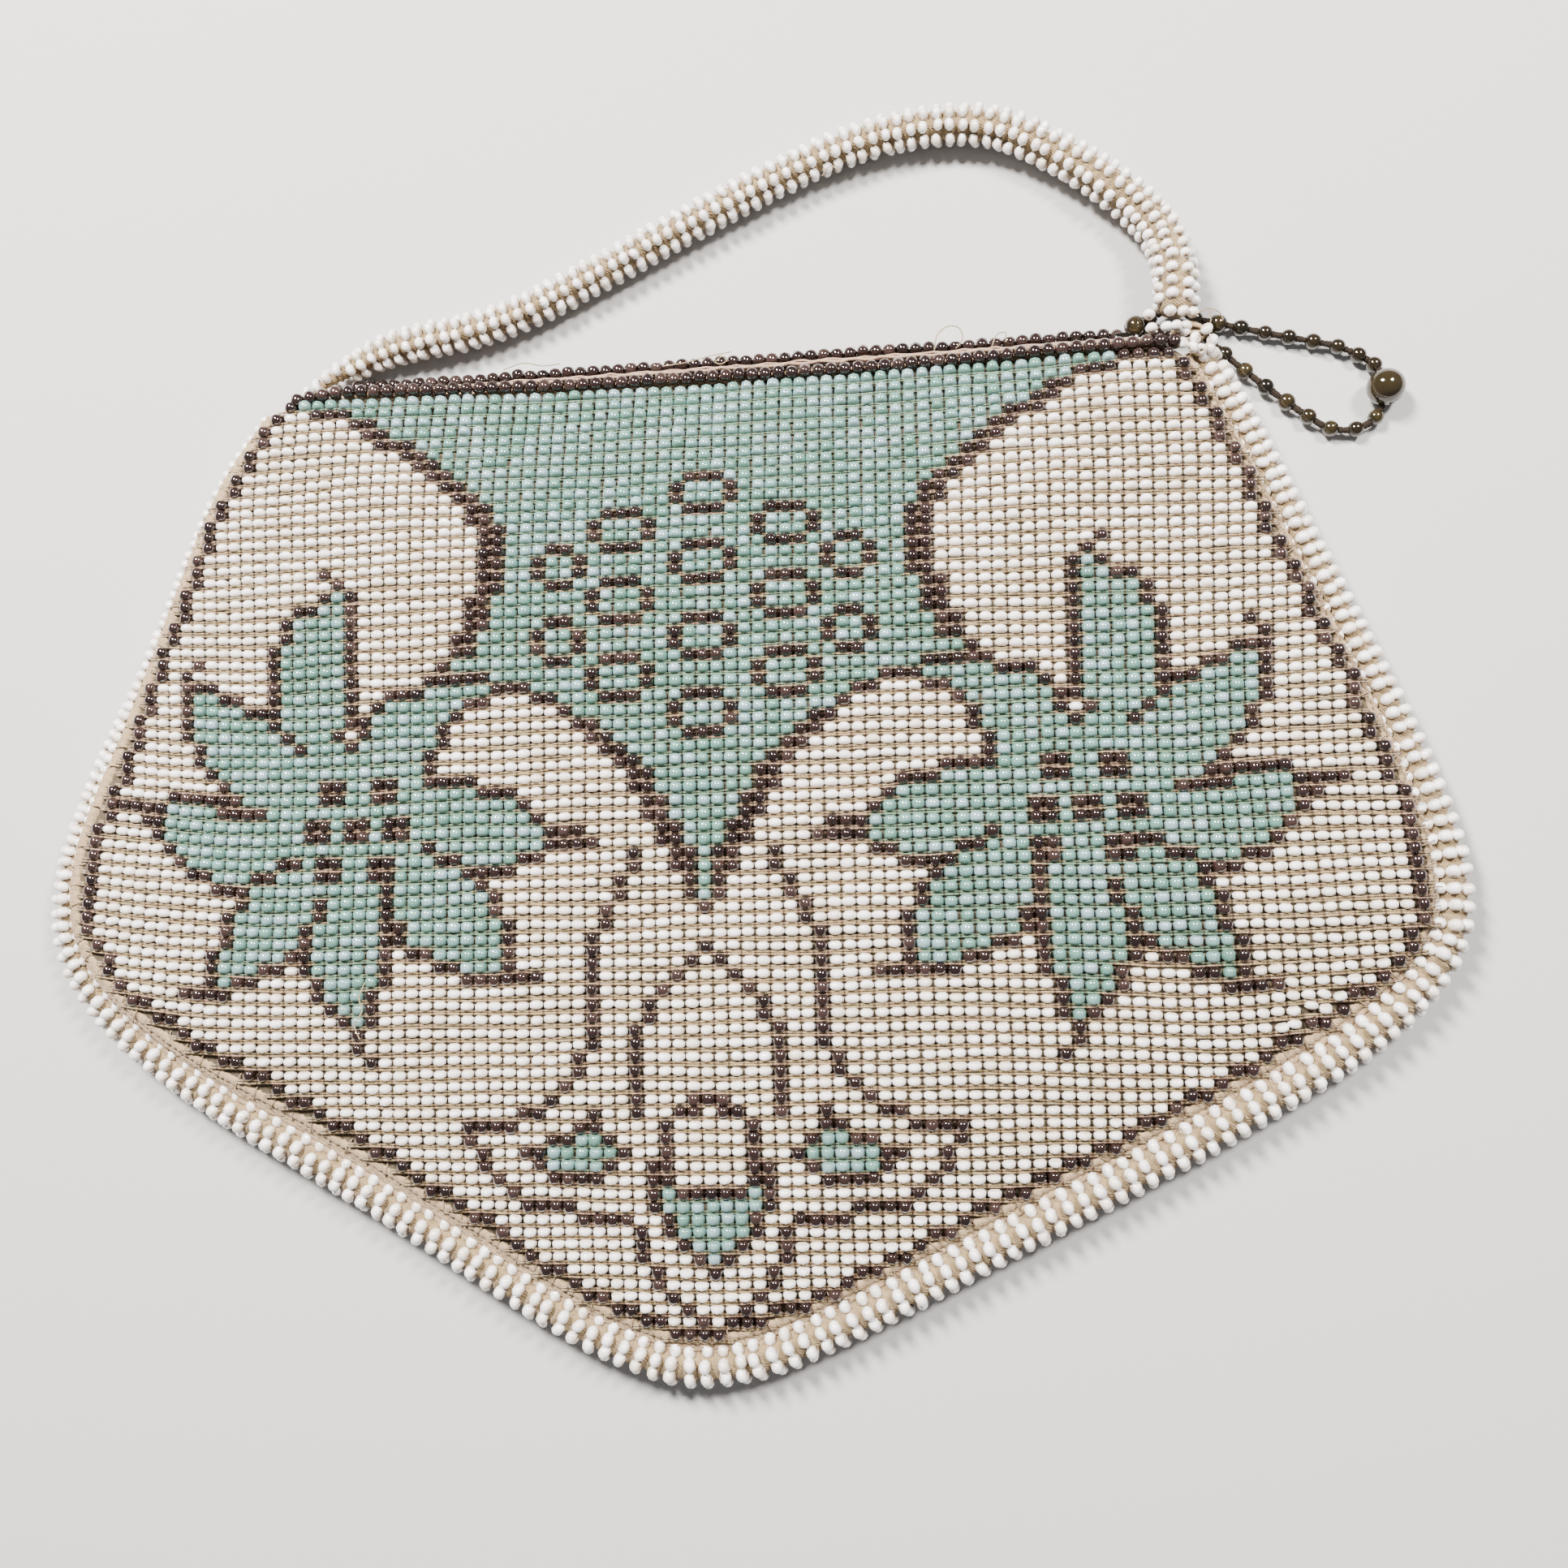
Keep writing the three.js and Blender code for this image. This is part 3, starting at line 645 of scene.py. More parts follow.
def grade(tree, source, stops, place=(0, 0)):
    """Turns a number into a colour along (place, colour) stops."""
    ramp = node(tree, "ShaderNodeValToRGB", place)
    while len(ramp.color_ramp.elements) < len(stops):
        ramp.color_ramp.elements.new(0.5)
    for element, (at, colour) in zip(ramp.color_ramp.elements, stops):
        element.position = at
        element.color = (*colour, 1)
    tree.links.new(source, ramp.inputs["Fac"])
    return ramp.outputs["Color"]


def mix_colours(tree, factor, first, second, place=(0, 0), blend="MIX"):
    """Mixes two colours, each a value or another node's output."""
    mix = node(tree, "ShaderNodeMix", place, data_type="RGBA", blend_type=blend)
    if isinstance(factor, float):
        mix.inputs["Factor"].default_value = factor
    else:
        tree.links.new(factor, mix.inputs["Factor"])
    for socket, value in (("A", first), ("B", second)):
        target = next(s for s in mix.inputs if s.name == socket and s.type == "RGBA")
        if isinstance(value, tuple):
            target.default_value = (*value, 1)
        else:
            tree.links.new(value, target)
    return next(s for s in mix.outputs if s.type == "RGBA")


def start_material(name):
    """A new material with its node tree and its shader."""
    material = bpy.data.materials.new(name)
    material.use_nodes = True
    return material, material.node_tree, material.node_tree.nodes["Principled BSDF"]


def bump(tree, shader, height, strength, distance):
    """Adds relief from a height; the distance is in metres."""
    n = node(tree, "ShaderNodeBump", (-250, -400))
    n.inputs["Strength"].default_value = strength
    n.inputs["Distance"].default_value = distance
    tree.links.new(height, n.inputs["Height"])
    tree.links.new(n.outputs["Normal"], shader.inputs["Normal"])


def to_range(tree, source, low, high, place=(0, 0), start=0.0):
    """Maps a number that runs from start to 1 to one that runs from low to high."""
    n = node(tree, "ShaderNodeMapRange", place)
    feed(tree, (source, start, low, high), [n.inputs[k] for k in ("Value", "From Min", "To Min", "To Max")])
    return n.outputs["Result"]


def glass_bead_material(name, tones, ends, rough, metallic=0.0, coat=0.0):
    """Bead glass whose colour differs from bead to bead, and darkens towards each bead's ends as painted
    shade.

    The tones are (place, colour) stops; ends is the painted shade colour at the bead ends, on white beads
    also a painted reflection of the tan thread; rough gives the least and the greatest roughness.
    """
    material, tree, shader = start_material(name)
    tone = node(tree, "ShaderNodeAttribute", (-1100, 200), attribute_name="tone")
    end = node(tree, "ShaderNodeAttribute", (-1100, -50), attribute_name="end")
    speckle = node(tree, "ShaderNodeGroup", (-1100, -300), node_tree=SPECKLE)
    body = grade(tree, tone.outputs["Fac"], tones, (-850, 200))
    # Painted shade towards each bead's ends, on white beads also a painted reflection of the tan thread.
    share = to_range(tree, end.outputs["Fac"], 0.0, 0.6, (-850, -50))
    colour = mix_colours(tree, share, body, ends, (-550, 150))
    clouds = [(0.35, (0.5, 0.48, 0.46)), (0.65, (1, 1, 1))]
    cloud = grade(tree, speckle.outputs["Mask"], clouds, (-850, -300))
    clouded = mix_colours(tree, 0.35, colour, cloud, (-300, 150), "MULTIPLY")
    tree.links.new(clouded, shader.inputs["Base Color"])
    roughness = to_range(tree, speckle.outputs["Mask"], rough[0], rough[1], (-550, -200))
    tree.links.new(roughness, shader.inputs["Roughness"])
    bump(tree, shader, speckle.outputs["Height"], 0.25, 0.00006)
    shader.inputs["Metallic"].default_value = metallic
    shader.inputs["Coat Weight"].default_value = coat
    shader.inputs["Coat Roughness"].default_value = 0.05
    return material


def cotton_material(name, colours, scale, strength=0.5, woven=False, sheen=0.2):
    """Cotton thread; the tint runs from pinkish at -1 through tan to greenish at 1."""
    material, tree, shader = start_material(name)
    tint = node(tree, "ShaderNodeAttribute", (-1100, 200), attribute_name="tint")
    place = to_range(tree, tint.outputs["Fac"], 0.0, 1.0, (-900, 200), start=-1.0)
    base = grade(tree, place, list(zip((0.0, 0.5, 1.0), colours)), (-650, 200))
    fibre = node(tree, "ShaderNodeGroup", (-1100, -200), node_tree=FIBRE)
    fibre.inputs["Scale"].default_value = scale
    plies = [(0.3, (0.55, 0.52, 0.48)), (0.7, (1, 1, 1))]
    shade = grade(tree, fibre.outputs["Mask"], plies, (-650, -100))
    colour = mix_colours(tree, 0.7, base, shade, (-300, 150), "MULTIPLY")
    # Painted shade: darker lines where the threads pass between the bead columns, partly the warp threads
    # themselves and partly shade in the gaps between the beads.
    if woven:
        column = node(tree, "ShaderNodeAttribute", (-1100, 450), attribute_name="column")
        lines = node(tree, "ShaderNodeGroup", (-850, 450), node_tree=COLUMN_LINES)
        tree.links.new(column.outputs["Fac"], lines.inputs["Column"])
        warp_shade_stops = [(0.0, (0.34, 0.27, 0.22)), (1.0, (1, 1, 1))]
        dark = grade(tree, lines.outputs["Mask"], warp_shade_stops, (-650, 450))
        colour = mix_colours(tree, 1.0, colour, dark, (-100, 300), "MULTIPLY")
    tree.links.new(colour, shader.inputs["Base Color"])
    shader.inputs["Roughness"].default_value = 0.85
    shader.inputs["Sheen Weight"].default_value = sheen
    shader.inputs["Specular IOR Level"].default_value = 0.2
    bump(tree, shader, fibre.outputs["Height"], strength, 0.0002)
    return material


SPECKLE = speckle_group()
FIBRE = fibre_group()
COLUMN_LINES = column_lines_group()
# Each glass's ends colour is painted shade at the bead ends; the white glass's cream ends are also a painted
# reflection of the tan thread.
WHITE_GLASS = glass_bead_material(
    "white_bead_glass",
    [(0.0, (0.74, 0.68, 0.60)), (0.3, (0.89, 0.85, 0.81)), (1.0, (0.96, 0.94, 0.94))],
    ends=(0.42, 0.3, 0.19), rough=(0.12, 0.24), coat=0.7)
BLUE_GLASS = glass_bead_material(
    "turquoise_bead_glass",
    [(0.0, (0.10, 0.21, 0.17)), (0.5, (0.145, 0.265, 0.245)), (1.0, (0.24, 0.34, 0.37))],
    ends=(0.07, 0.13, 0.10), rough=(0.05, 0.14), coat=1.0)
BRONZE_GLASS = glass_bead_material(
    "bronze_bead_glass",
    [(0.0, (0.014, 0.007, 0.006)), (0.7, (0.027, 0.013, 0.011)), (1.0, (0.055, 0.031, 0.026))],
    ends=(0.02, 0.01, 0.007), rough=(0.05, 0.13), metallic=0.35, coat=1.0)
OLIVE_GLASS = glass_bead_material(
    "olive_bead_glass",
    [(0.0, (0.008, 0.006, 0.003)), (0.6, (0.02, 0.013, 0.005)), (1.0, (0.05, 0.036, 0.012))],
    ends=(0.01, 0.007, 0.003), rough=(0.05, 0.14), metallic=0.4, coat=0.9)
# The front threads' pinkish and greenish colours are painted reflection of the bronze and blue beads beside
# them; their column lines are painted shade.
WOVEN_COTTON = cotton_material(
    "woven_cotton", [(0.32, 0.2, 0.15), (0.35, 0.255, 0.13), (0.14, 0.225, 0.145)], 1500.0, 0.7, woven=True)
COTTON = cotton_material(
    "tan_cotton", [(0.40, 0.26, 0.19), (0.38, 0.28, 0.155), (0.25, 0.28, 0.18)], 1500.0)
ROPE_COTTON = cotton_material(
    "rope_cotton", [(0.28, 0.19, 0.13), (0.28, 0.2, 0.105), (0.28, 0.21, 0.15)], 1100.0, 0.8)
DARK_THREAD = cotton_material(
    "dark_thread", [(0.02, 0.013, 0.01), (0.02, 0.013, 0.008), (0.02, 0.016, 0.014)], 1500.0, sheen=0.0)
# The lining's dark brown is partly its own colour and partly painted shade in the gaps between the beads.
LINING_SHADE_CLOTH = cotton_material(
    "lining_cotton_painted_shade", [(0.08, 0.055, 0.035), (0.09, 0.068, 0.04), (0.07, 0.08, 0.06)], 700.0)
# The zip tape is painted near-black as the shade between the two rims.
ZIP_TAPE_SHADE = cotton_material(
    "zip_tape_painted_shade", [(0.03, 0.018, 0.016), (0.03, 0.019, 0.016), (0.03, 0.02, 0.018)], 900.0, sheen=0.0)

ROUNDED_BEAD = model_seed_bead(8, 0.62, 0.38, 0.39)
SQUARE_BEAD = model_seed_bead(8, 0.80, 0.32, 0.32)
LOOSE_BEAD = model_seed_bead(8, 0.48, 0.34, 0.42, hole=0.32)
SMALL_BEAD = model_seed_bead(6, 0.80, 0.32, 0.32)
ROUND_BEAD = model_round_bead(16, 10, 0.28)


# Front wall.

def front_beads():
    """All beads of the front wall; returns each cell's kind."""
    columns, rows, x, y = lattice()
    kinds = cell_kinds(columns, rows)
    ruffle = np.exp(-((x - 84) / 9) ** 2 - ((y + 18) / 8) ** 2)
    x = x + random.normal(0, PLACE_SPREAD, len(x)) + random.normal(0, 0.3, len(x)) * ruffle
    y = y + random.normal(0, PLACE_SPREAD, len(y)) + random.normal(0, 0.22, len(y)) * ruffle
    level = wall_frames(x, y)
    depth = (BEAD_RADIUS + random.normal(0.02, 0.05, len(x))) / np.maximum(level[:, 2, 2], 0.5)
    centres = np.stack([x, y, wall_height(x, y) - depth], 1)
    frames = jitter(level, 3 + 14 * ruffle, 5 + 10 * ruffle)
    parts = [
        ("front_white_left", (kinds == WHITE) & (x < 5), WHITE_GLASS, WHITE),
        ("front_white_right", (kinds == WHITE) & (x >= 5), WHITE_GLASS, WHITE),
        ("front_turquoise", kinds == BLUE, BLUE_GLASS, BLUE),
        ("front_bronze", kinds == BRONZE, BRONZE_GLASS, BRONZE),
    ]
    for name, mine, material, kind in parts:
        bead = ROUNDED_BEAD if kind == WHITE else SQUARE_BEAD
        size = np.array(WOVEN_SIZES[kind]) * (1 + random.normal(0, SIZE_SPREAD, (mine.sum(), 3)))
        string_beads(name, bead, centres[mine], frames[mine], size, material)
    return dict(zip(zip(columns.tolist(), rows.tolist()), kinds.tolist()))


def front_threads(kinds):
    """Two slightly wavy threads between each pair of bead rows."""
    tubes, tints, lanes = [], [], []
    for row in range(FIRST_ROW, LAST_ROW):
        columns = [c for c, r in kinds if r == row]
        if not columns:
            continue
        span = np.arange(min(columns) - 1, max(columns) + 2, 1.0)
        x0, y0 = bead_places(span, np.full(len(span), float(row)))
        x1, y1 = bead_places(span, np.full(len(span), row + 1.0))
        x, y = (x0 + x1) / 2, (y0 + y1) / 2
        # Each thread takes a painted reflection of the colour of the bead row beside it.
        tint = {1: np.array([BEAD_REFLECTION_TINTS[kinds.get((int(c), row), WHITE)] for c in span]),
                -1: np.array([BEAD_REFLECTION_TINTS[kinds.get((int(c), row + 1), WHITE)] for c in span])}
        for side in (-1, 1):
            wave = 0.05 * np.sin(span * 2.1 + row * 1.7 + side) + random.normal(0, 0.025, len(span))
            wy = y + side * 0.17 + wave
            height = wall_height(x, wy) - 0.95 + random.normal(0, 0.04, len(span))
            tubes.append(tube(np.stack([x, wy, height], 1), THREAD_RADIUS, 4))
            tints.append(np.repeat(tint[side] + random.normal(0, 0.12, len(span)), 4))
            lanes.append(np.repeat(span, 4))
    threads = join_tubes("front_threads", tubes, WOVEN_COTTON, tints)
    # Column numbers for the painted shade lines between the bead columns.
    paint(threads, "column", np.concatenate(lanes))


def wall_cloth(name, node_name, lower):
    """The knitted ground behind the beads: the wall's own sheet, thinned where the beads lie on it."""
    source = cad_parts[node_name]
    mesh = source.data.copy()
    piece = bpy.data.objects.new(name, mesh)
    bpy.context.scene.collection.objects.link(piece)
    deselect_all()
    piece.select_set(True)
    bpy.context.view_layer.objects.active = piece
    bpy.ops.object.mode_set(mode="EDIT")
    bpy.ops.mesh.select_all(action="SELECT")
    bpy.ops.mesh.remove_doubles(threshold=0.00001)
    bpy.ops.object.mode_set(mode="OBJECT")
    mesh.update()
    lower(mesh)
    mesh.materials.clear()
    # Its dark colour is partly painted shade between the beads.
    mesh.materials.append(LINING_SHADE_CLOTH)
    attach(piece, "root")
    return piece


def sink_front(mesh):
    """Lowers the upper face to where the beads lie on it and draws its rim in behind the edge beads."""
    normals = [vertex.normal.copy() for vertex in mesh.vertices]
    flat = np.array([vertex.co[:2] for vertex in mesh.vertices]) / MM
    depth = np.abs(outline_distance(flat[:, 0], flat[:, 1], OUTLINE))
    sides = OUTLINE[:SIDE_POINTS, :2]
    nearest = np.argmin(((flat[:, None] - sides[None]) ** 2).sum(2), axis=1)
    pull = 0.5 + 0.35 * from_table(EDGE_INSET, nearest / (SIDE_POINTS - 1))
    pull *= np.clip(1 - depth / 14, 0, 1) * np.clip((79.0 - flat[:, 1]) / 4, 0, 1)
    t = directions(sides)[nearest]
    for vertex, normal, amount, way in zip(mesh.vertices, normals, pull, t):
        if normal.z > 0:
            vertex.co.z -= (1.25 if vertex.co.y < 76.5 * MM else 1.9) * MM
        vertex.co.x -= float(way[1] * amount) * MM
        vertex.co.y += float(way[0] * amount) * MM


def raise_back(mesh):
    """Raises the under face to where the back's beads begin."""
    for vertex in mesh.vertices:
        if vertex.co.z < 0.5 * MM:
            vertex.co.z = 1.0 * MM


# Back wall.

def back_outline():
    """The back wall's outline, where it meets the side rope."""
    inset = math.sqrt(ROPE_CLEAR ** 2 - (ROPE_RADIUS - 2.0) ** 2)
    left, right = BACK_TOP
    return np.vstack([move_inwards(catmull_rom(side_line(), SIDE_POINTS), inset), [right, left]])


def back_beads():
    """The back is plain: white beads inside one line of bronze ones; returns their cells."""
    columns, rows = np.meshgrid(np.arange(-80, 22), np.arange(BACK_TOP_ROW - 1, LAST_ROW + 1))
    columns, rows = columns.ravel(), rows.ravel()
    x = (columns - COLUMN_AT_ZERO) * COLUMN_PITCH
    y = BACK_TOP_LEVEL - BACK_ROW_PITCH * (rows - BACK_TOP_ROW)
    keep = outline_distance(x, y, back_outline()) > 0.8
    columns, rows, x, y = columns[keep], rows[keep], x[keep], y[keep]
    cells = set(zip(columns.tolist(), rows.tolist()))
    edge = np.array([any(c not in cells for c in ((a - 1, b), (a + 1, b), (a, b - 1), (a, b + 1)))
                     for a, b in zip(columns.tolist(), rows.tolist())])
    x = x + random.normal(0, PLACE_SPREAD, len(x))
    y = y + random.normal(0, PLACE_SPREAD, len(y))
    centres = np.stack([x, y, np.full(len(x), BEAD_RADIUS)], 1)
    flat = np.tile(np.array([(1.0, 0, 0), (0, -1.0, 0), (0, 0, -1.0)]), (len(x), 1, 1))
    frames = jitter(flat)
    parts = [("back_white_left", ~edge & (x < 0), WHITE_GLASS, "white_beads"),
             ("back_white_right", ~edge & (x >= 0), WHITE_GLASS, "white_beads"),
             ("back_bronze", edge, BRONZE_GLASS, "bronze_beads")]
    for name, mine, material, slot in parts:
        string_beads(name, SMALL_BEAD, centres[mine], frames[mine], (0.96, 1.0, 0.96), material)
    return columns, rows


def back_threads(columns, rows):
    """One thread between each pair of the back's bead rows."""
    tubes, tints = [], []
    for row in range(BACK_TOP_ROW, LAST_ROW):
        mine = columns[rows == row]
        if not len(mine):
            continue
        span = np.arange(mine.min(), mine.max() + 0.1, 2.0)
        x = (span - COLUMN_AT_ZERO) * COLUMN_PITCH
        y = BACK_TOP_LEVEL - BACK_ROW_PITCH * (row - BACK_TOP_ROW + 0.5)
        y = y + random.normal(0, PLACE_SPREAD, len(span))
        tubes.append(tube(np.stack([x, y, np.full(len(span), 0.62)], 1), 0.26, 4))
        tints.append(np.repeat(random.normal(0, 0.2, len(span)), 4))
    join_tubes("back_threads", tubes, COTTON, tints)


# Ropes.

def rope_frames(line):
    """Along, outward and upward directions at each point of a flat line."""
    along = directions(line)
    out = np.cross(along, (0, 0, 1.0))
    out /= np.linalg.norm(out, axis=1, keepdims=True)
    return along, out, np.cross(out, along)


def rope_places(total, pitch_at):
    """Distances along a line of the given length, spaced by pitch_at(share)."""
    places = [1.0]
    while places[-1] + pitch_at(places[-1] / total) < total - 0.8:
        places.append(places[-1] + pitch_at(places[-1] / total))
    return places


def wrap_rope(name, line, radius_at, pitch_at, angles_at, scale=1.0):
    """Rows of beads round a cord; their holes run along it."""
    run = run_along(line)
    along, out, rise = rope_frames(line)
    centres, frames, sizes = [], [], []
    for place in rope_places(run[-1], pitch_at):
        share = place / run[-1]
        at = [np.interp(place, run, v) for v in (*line.T, *along.T, *out.T, *rise.T)]
        p, t, o, u = (np.array(at[k:k + 3]) for k in (0, 3, 6, 9))
        reach = radius_at(share) - BEAD_RADIUS * scale
        lean = random.normal(0, 0.1)
        for angle in angles_at(share):
            a = math.radians(angle + random.normal(0, 2.5))
            radial = math.cos(a) * o + math.sin(a) * u
            axis = t + lean * radial
            axis /= np.linalg.norm(axis)
            shift = t * random.normal(0, 0.12)
            centres.append(p + radial * reach + shift)
            frames.append([np.cross(axis, radial), axis, radial])
            sizes.append(scale * np.array((1.0, 1.1, 1.0)) * (1 + random.normal(0, 0.03)))
    frames = jitter(np.array(frames), 8.0, 8.0)
    return string_beads(name, LOOSE_BEAD, np.array(centres), frames, np.array(sizes), WHITE_GLASS)


def ribbed_cord(line, radius, sides):
    """A cord wound with thread, so that its surface is ribbed and a little uneven."""
    ribs = 0.13 * np.sin(run_along(line) * 2 * math.pi / 1.05) + random.normal(0, 0.04, len(line))
    return tube(line, radius + ribs, sides)


def side_angles(share):
    """Where each bead of a row sits round the side rope; the upper left end has shorter rows."""
    count = 5 if share < 0.14 else 7
    return [from_table(SIDE_SEAM, share) - 36 - 48 * k for k in range(count)]


def side_rope():
    """The side rope's beads and its cord; returns the beads."""
    flat = catmull_rom(side_line(), 1400)
    line = np.column_stack([flat, np.full(len(flat), ROPE_RADIUS)])
    beads = wrap_rope("side_rope_beads", line, lambda share: ROPE_RADIUS,
                      lambda share: from_table(SIDE_PITCHES, share), side_angles)
    join_tubes("side_rope_cord", [ribbed_cord(line, SIDE_CORE_RADIUS, 10)], ROPE_COTTON)
    return beads


def edge_binding():
    """The sewn seam between the front wall's outline and the rope, with its stitches."""
    line = catmull_rom(side_line(), 900)
    t = directions(line)
    shares = np.linspace(0, 1, len(line))
    angle = np.radians(from_table(SEAT, shares))
    edge = from_table(EDGE_INSET, shares)
    inset = ROPE_CLEAR * np.cos(angle) + 0.55 * edge - 0.1
    height = ROPE_RADIUS + ROPE_CLEAR * np.sin(angle) + WALL - 1.7
    thick = 0.42 + 0.43 * np.clip((0.79 - shares) / 0.06, 0, 1)
    seam = np.column_stack([move_inwards(line, inset), height - (0.85 - thick)])
    inward = np.column_stack([-t[:, 1], t[:, 0], np.zeros(len(t))])
    up = np.array((0.0, 0.0, 1.0))
    wide = 0.28 * edge[:, None]
    tubes = [ribbed_cord(seam, thick, 7),
             ribbed_cord(seam + inward * (0.3 + wide) - 0.45 * up, thick, 6),
             ribbed_cord(seam - inward * 0.75 - 0.75 * up, thick + 0.1, 6)]
    rope = np.column_stack([line, np.full(len(line), ROPE_RADIUS)])
    for share in (0.3, 0.52):
        filler = seam + (rope - seam) * share - 0.2 * up
        tubes.append(ribbed_cord(filler[::3], thick[::3], 6))
    for place in range(8, len(line) - 8, 7):
        along = t[place] * random.normal(0.3, 0.3)
        reach = np.array((1.9, 0.9, -0.2, -1.2))[:, None] + random.normal(0, 0.15)
        flat = line[place] + inward[place, :2] * (inset[place] + reach)
        flat = flat + along * np.linspace(-1, 1, 4)[:, None]
        rise = height[place] + np.array((0.55, 1.0, 0.9, 0.1)) + random.normal(0, 0.08)
        tubes.append(tube(np.column_stack([flat, rise]), 0.11, 3))
    join_tubes("edge_binding", tubes, COTTON, -0.25)


def handle_line():
    """The handle's middle line as (x, y, height, share of HANDLE_RADIUS), lifted at its right end."""
    lifts = [0.0] * (len(HANDLE_LINE) - len(HANDLE_END_LIFT)) + list(HANDLE_END_LIFT)
    points = [(x, y, HANDLE_RADIUS * share + HANDLE_CLEAR + lift, share)
              for (x, y, share), lift in zip(HANDLE_LINE, lifts)]
    return catmull_rom(points, 640)


def handle():
    """The handle's beads and its cord; returns the beads."""
    line = handle_line()
    radius = HANDLE_RADIUS * line[:, 3]
    shares = np.linspace(0, 1, len(line))

    def radius_at(share):
        return float(np.interp(share, shares, radius))

    def angles(share):
        seam = from_table(HANDLE_SEAM, share)
        count = 7 if radius_at(share) > 2.7 else 5 if radius_at(share) > 2.2 else 4
        if share < 0.05:
            return [seam + 26, seam + 84]
        return [seam + 25 + 310 / (count - 1) * k for k in range(count)]

    beads = wrap_rope("handle_beads", line[:, :3], radius_at, lambda share: HANDLE_PITCH, angles,
                      HANDLE_BEAD_SCALE)
    join_tubes("handle_cord", [ribbed_cord(line[:, :3], radius - HANDLE_CORE_DEPTH, 10)], ROPE_COTTON)
    return beads


# Rims, zip and string.

def top_edge(x):
    """How far along the bag the front wall's top edge lies."""
    (left, y0), (right, y1) = FRONT_TOP
    return y0 + (x - left) * (y1 - y0) / (right - left)


def front_rim_beads():
    """One line of bronze beads along the front wall's top edge, down to its corners."""
    x = np.arange(-65.0, 66.5, COLUMN_PITCH)
    y = top_edge(x) + 1.0 - 0.9 * np.exp(-((x + 66) / 5) ** 2)
    y -= 0.3 * np.clip((x + 40) / 40, 0, 1) + 0.45 * np.clip(x / 60, 0, 1)
    z = wall_height(x, np.full(len(x), 79.2)) - 1.0
    frames = wall_frames(x, np.full(len(x), 78.6))
    centres = np.stack([x, y + random.normal(0, 0.07, len(x)), z], 1)
    return string_beads("front_rim_beads", SQUARE_BEAD, centres, jitter(frames, 5, 10), (0.98, 1.22, 1.05),
                        BRONZE_GLASS)


def back_rim_beads():
    """The same along the back wall's top edge."""
    x = np.arange(-58.5, 66.5, COLUMN_PITCH)
    y = top_edge(x) + 4.5 + random.normal(0, 0.1, len(x)) - 0.6 * np.clip((x - 57) / 6, 0, 1)
    z = 1.05 + 0.25 * np.clip((x - 58) / 4, 0, 1)
    centres = np.stack([x, y, z], 1)
    frames = np.tile(np.eye(3), (len(x), 1, 1))
    return string_beads("back_rim_beads", SQUARE_BEAD, centres, jitter(frames, 8, 14), (1.0, 1.2, 1.05),
                        BRONZE_GLASS)


def model_block(name, size, place):
    """A box in millimetres, left in edit mode with nothing turned or scaled."""
    deselect_all()
    bpy.ops.mesh.primitive_cube_add(size=1.0, location=(0.0, 0.0, 0.0))
    piece = bpy.context.object
    piece.name = name
    piece.scale = [v * MM for v in size]
    piece.location = [v * MM for v in place]
    bpy.ops.object.transform_apply(location=True, rotation=True, scale=True)
    bpy.ops.object.mode_set(mode="EDIT")
    return piece


def zip_tape():
    """The closed zip's tape between the two walls, a little wavy."""
    piece = model_block("zip_tape", (116.6, 16.0, 0.6), (0.9, 74.7, 2.7))
    bpy.ops.mesh.select_all(action="SELECT")
    bpy.ops.mesh.subdivide(number_cuts=24)
    bpy.ops.object.mode_set(mode="OBJECT")
    for vertex in piece.data.vertices:
        vertex.co.z += 0.12 * MM * math.sin(vertex.co.x / MM * 0.45)
    # Near-black as painted shade between the rims.
    piece.data.materials.append(ZIP_TAPE_SHADE)
    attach(piece, "root")
    return piece


def zip_fold():
    """The tape's edge that turns up and is sewn behind the front wall's top edge."""
    x = np.linspace(-65.5, 63.0, 110)
    top = wall_height(x, np.full(len(x), 79.2)) - 2.3
    tubes = []
    for share in np.linspace(0, 1, 9):
        y = top_edge(x) + 0.2 + 1.2 * share
        z = top + (2.9 - top) * share
        tubes.append(ribbed_cord(np.stack([x, y, z], 1), 0.5, 5))
    join_tubes("zip_fold", tubes, COTTON, -0.4)


def zip_threads():
    """Rows of sewing thread over the closed zip, between the two rims."""
    tubes = []
    x = np.linspace(-62, 62, 110)
    for offset, height, radius in ((2.3, 4.05, 0.24), (2.75, 3.6, 0.18)):
        y = top_edge(x) + offset + 0.1 * np.sin(x * 1.3 + offset * 9) + random.normal(0, 0.05, len(x))
        y = y - 1.0 * np.exp(-((x + 64) / 4) ** 2)
        z = height + random.normal(0, 0.05, len(x))
        tubes.append(tube(np.stack([x, y, z], 1), radius, 5))
    join_tubes("zip_threads", tubes, COTTON, -0.8)


def zip_slider():
    """The zip's slider at the right end: a small flared body that narrows towards the string."""
    piece = model_block("zip_slider", (2.4, 1.8, 0.8), (59.0, 83.0, 2.7))
    pick_faces(lambda face: face.normal.x > 0.9)
    bpy.ops.mesh.extrude_region_move(TRANSFORM_OT_translate={"value": (1.2 * MM, 0.3 * MM, 0)})
    bpy.ops.transform.resize(value=(1.0, 0.45, 0.8))
    bpy.ops.mesh.select_all(action="SELECT")
    bpy.ops.mesh.bevel(offset=0.25 * MM, segments=3)
    bpy.ops.object.mode_set(mode="OBJECT")
    bpy.ops.object.shade_smooth_by_angle(angle=math.radians(40))
    piece.data.materials.append(OLIVE_GLASS)
    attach(piece, "root")


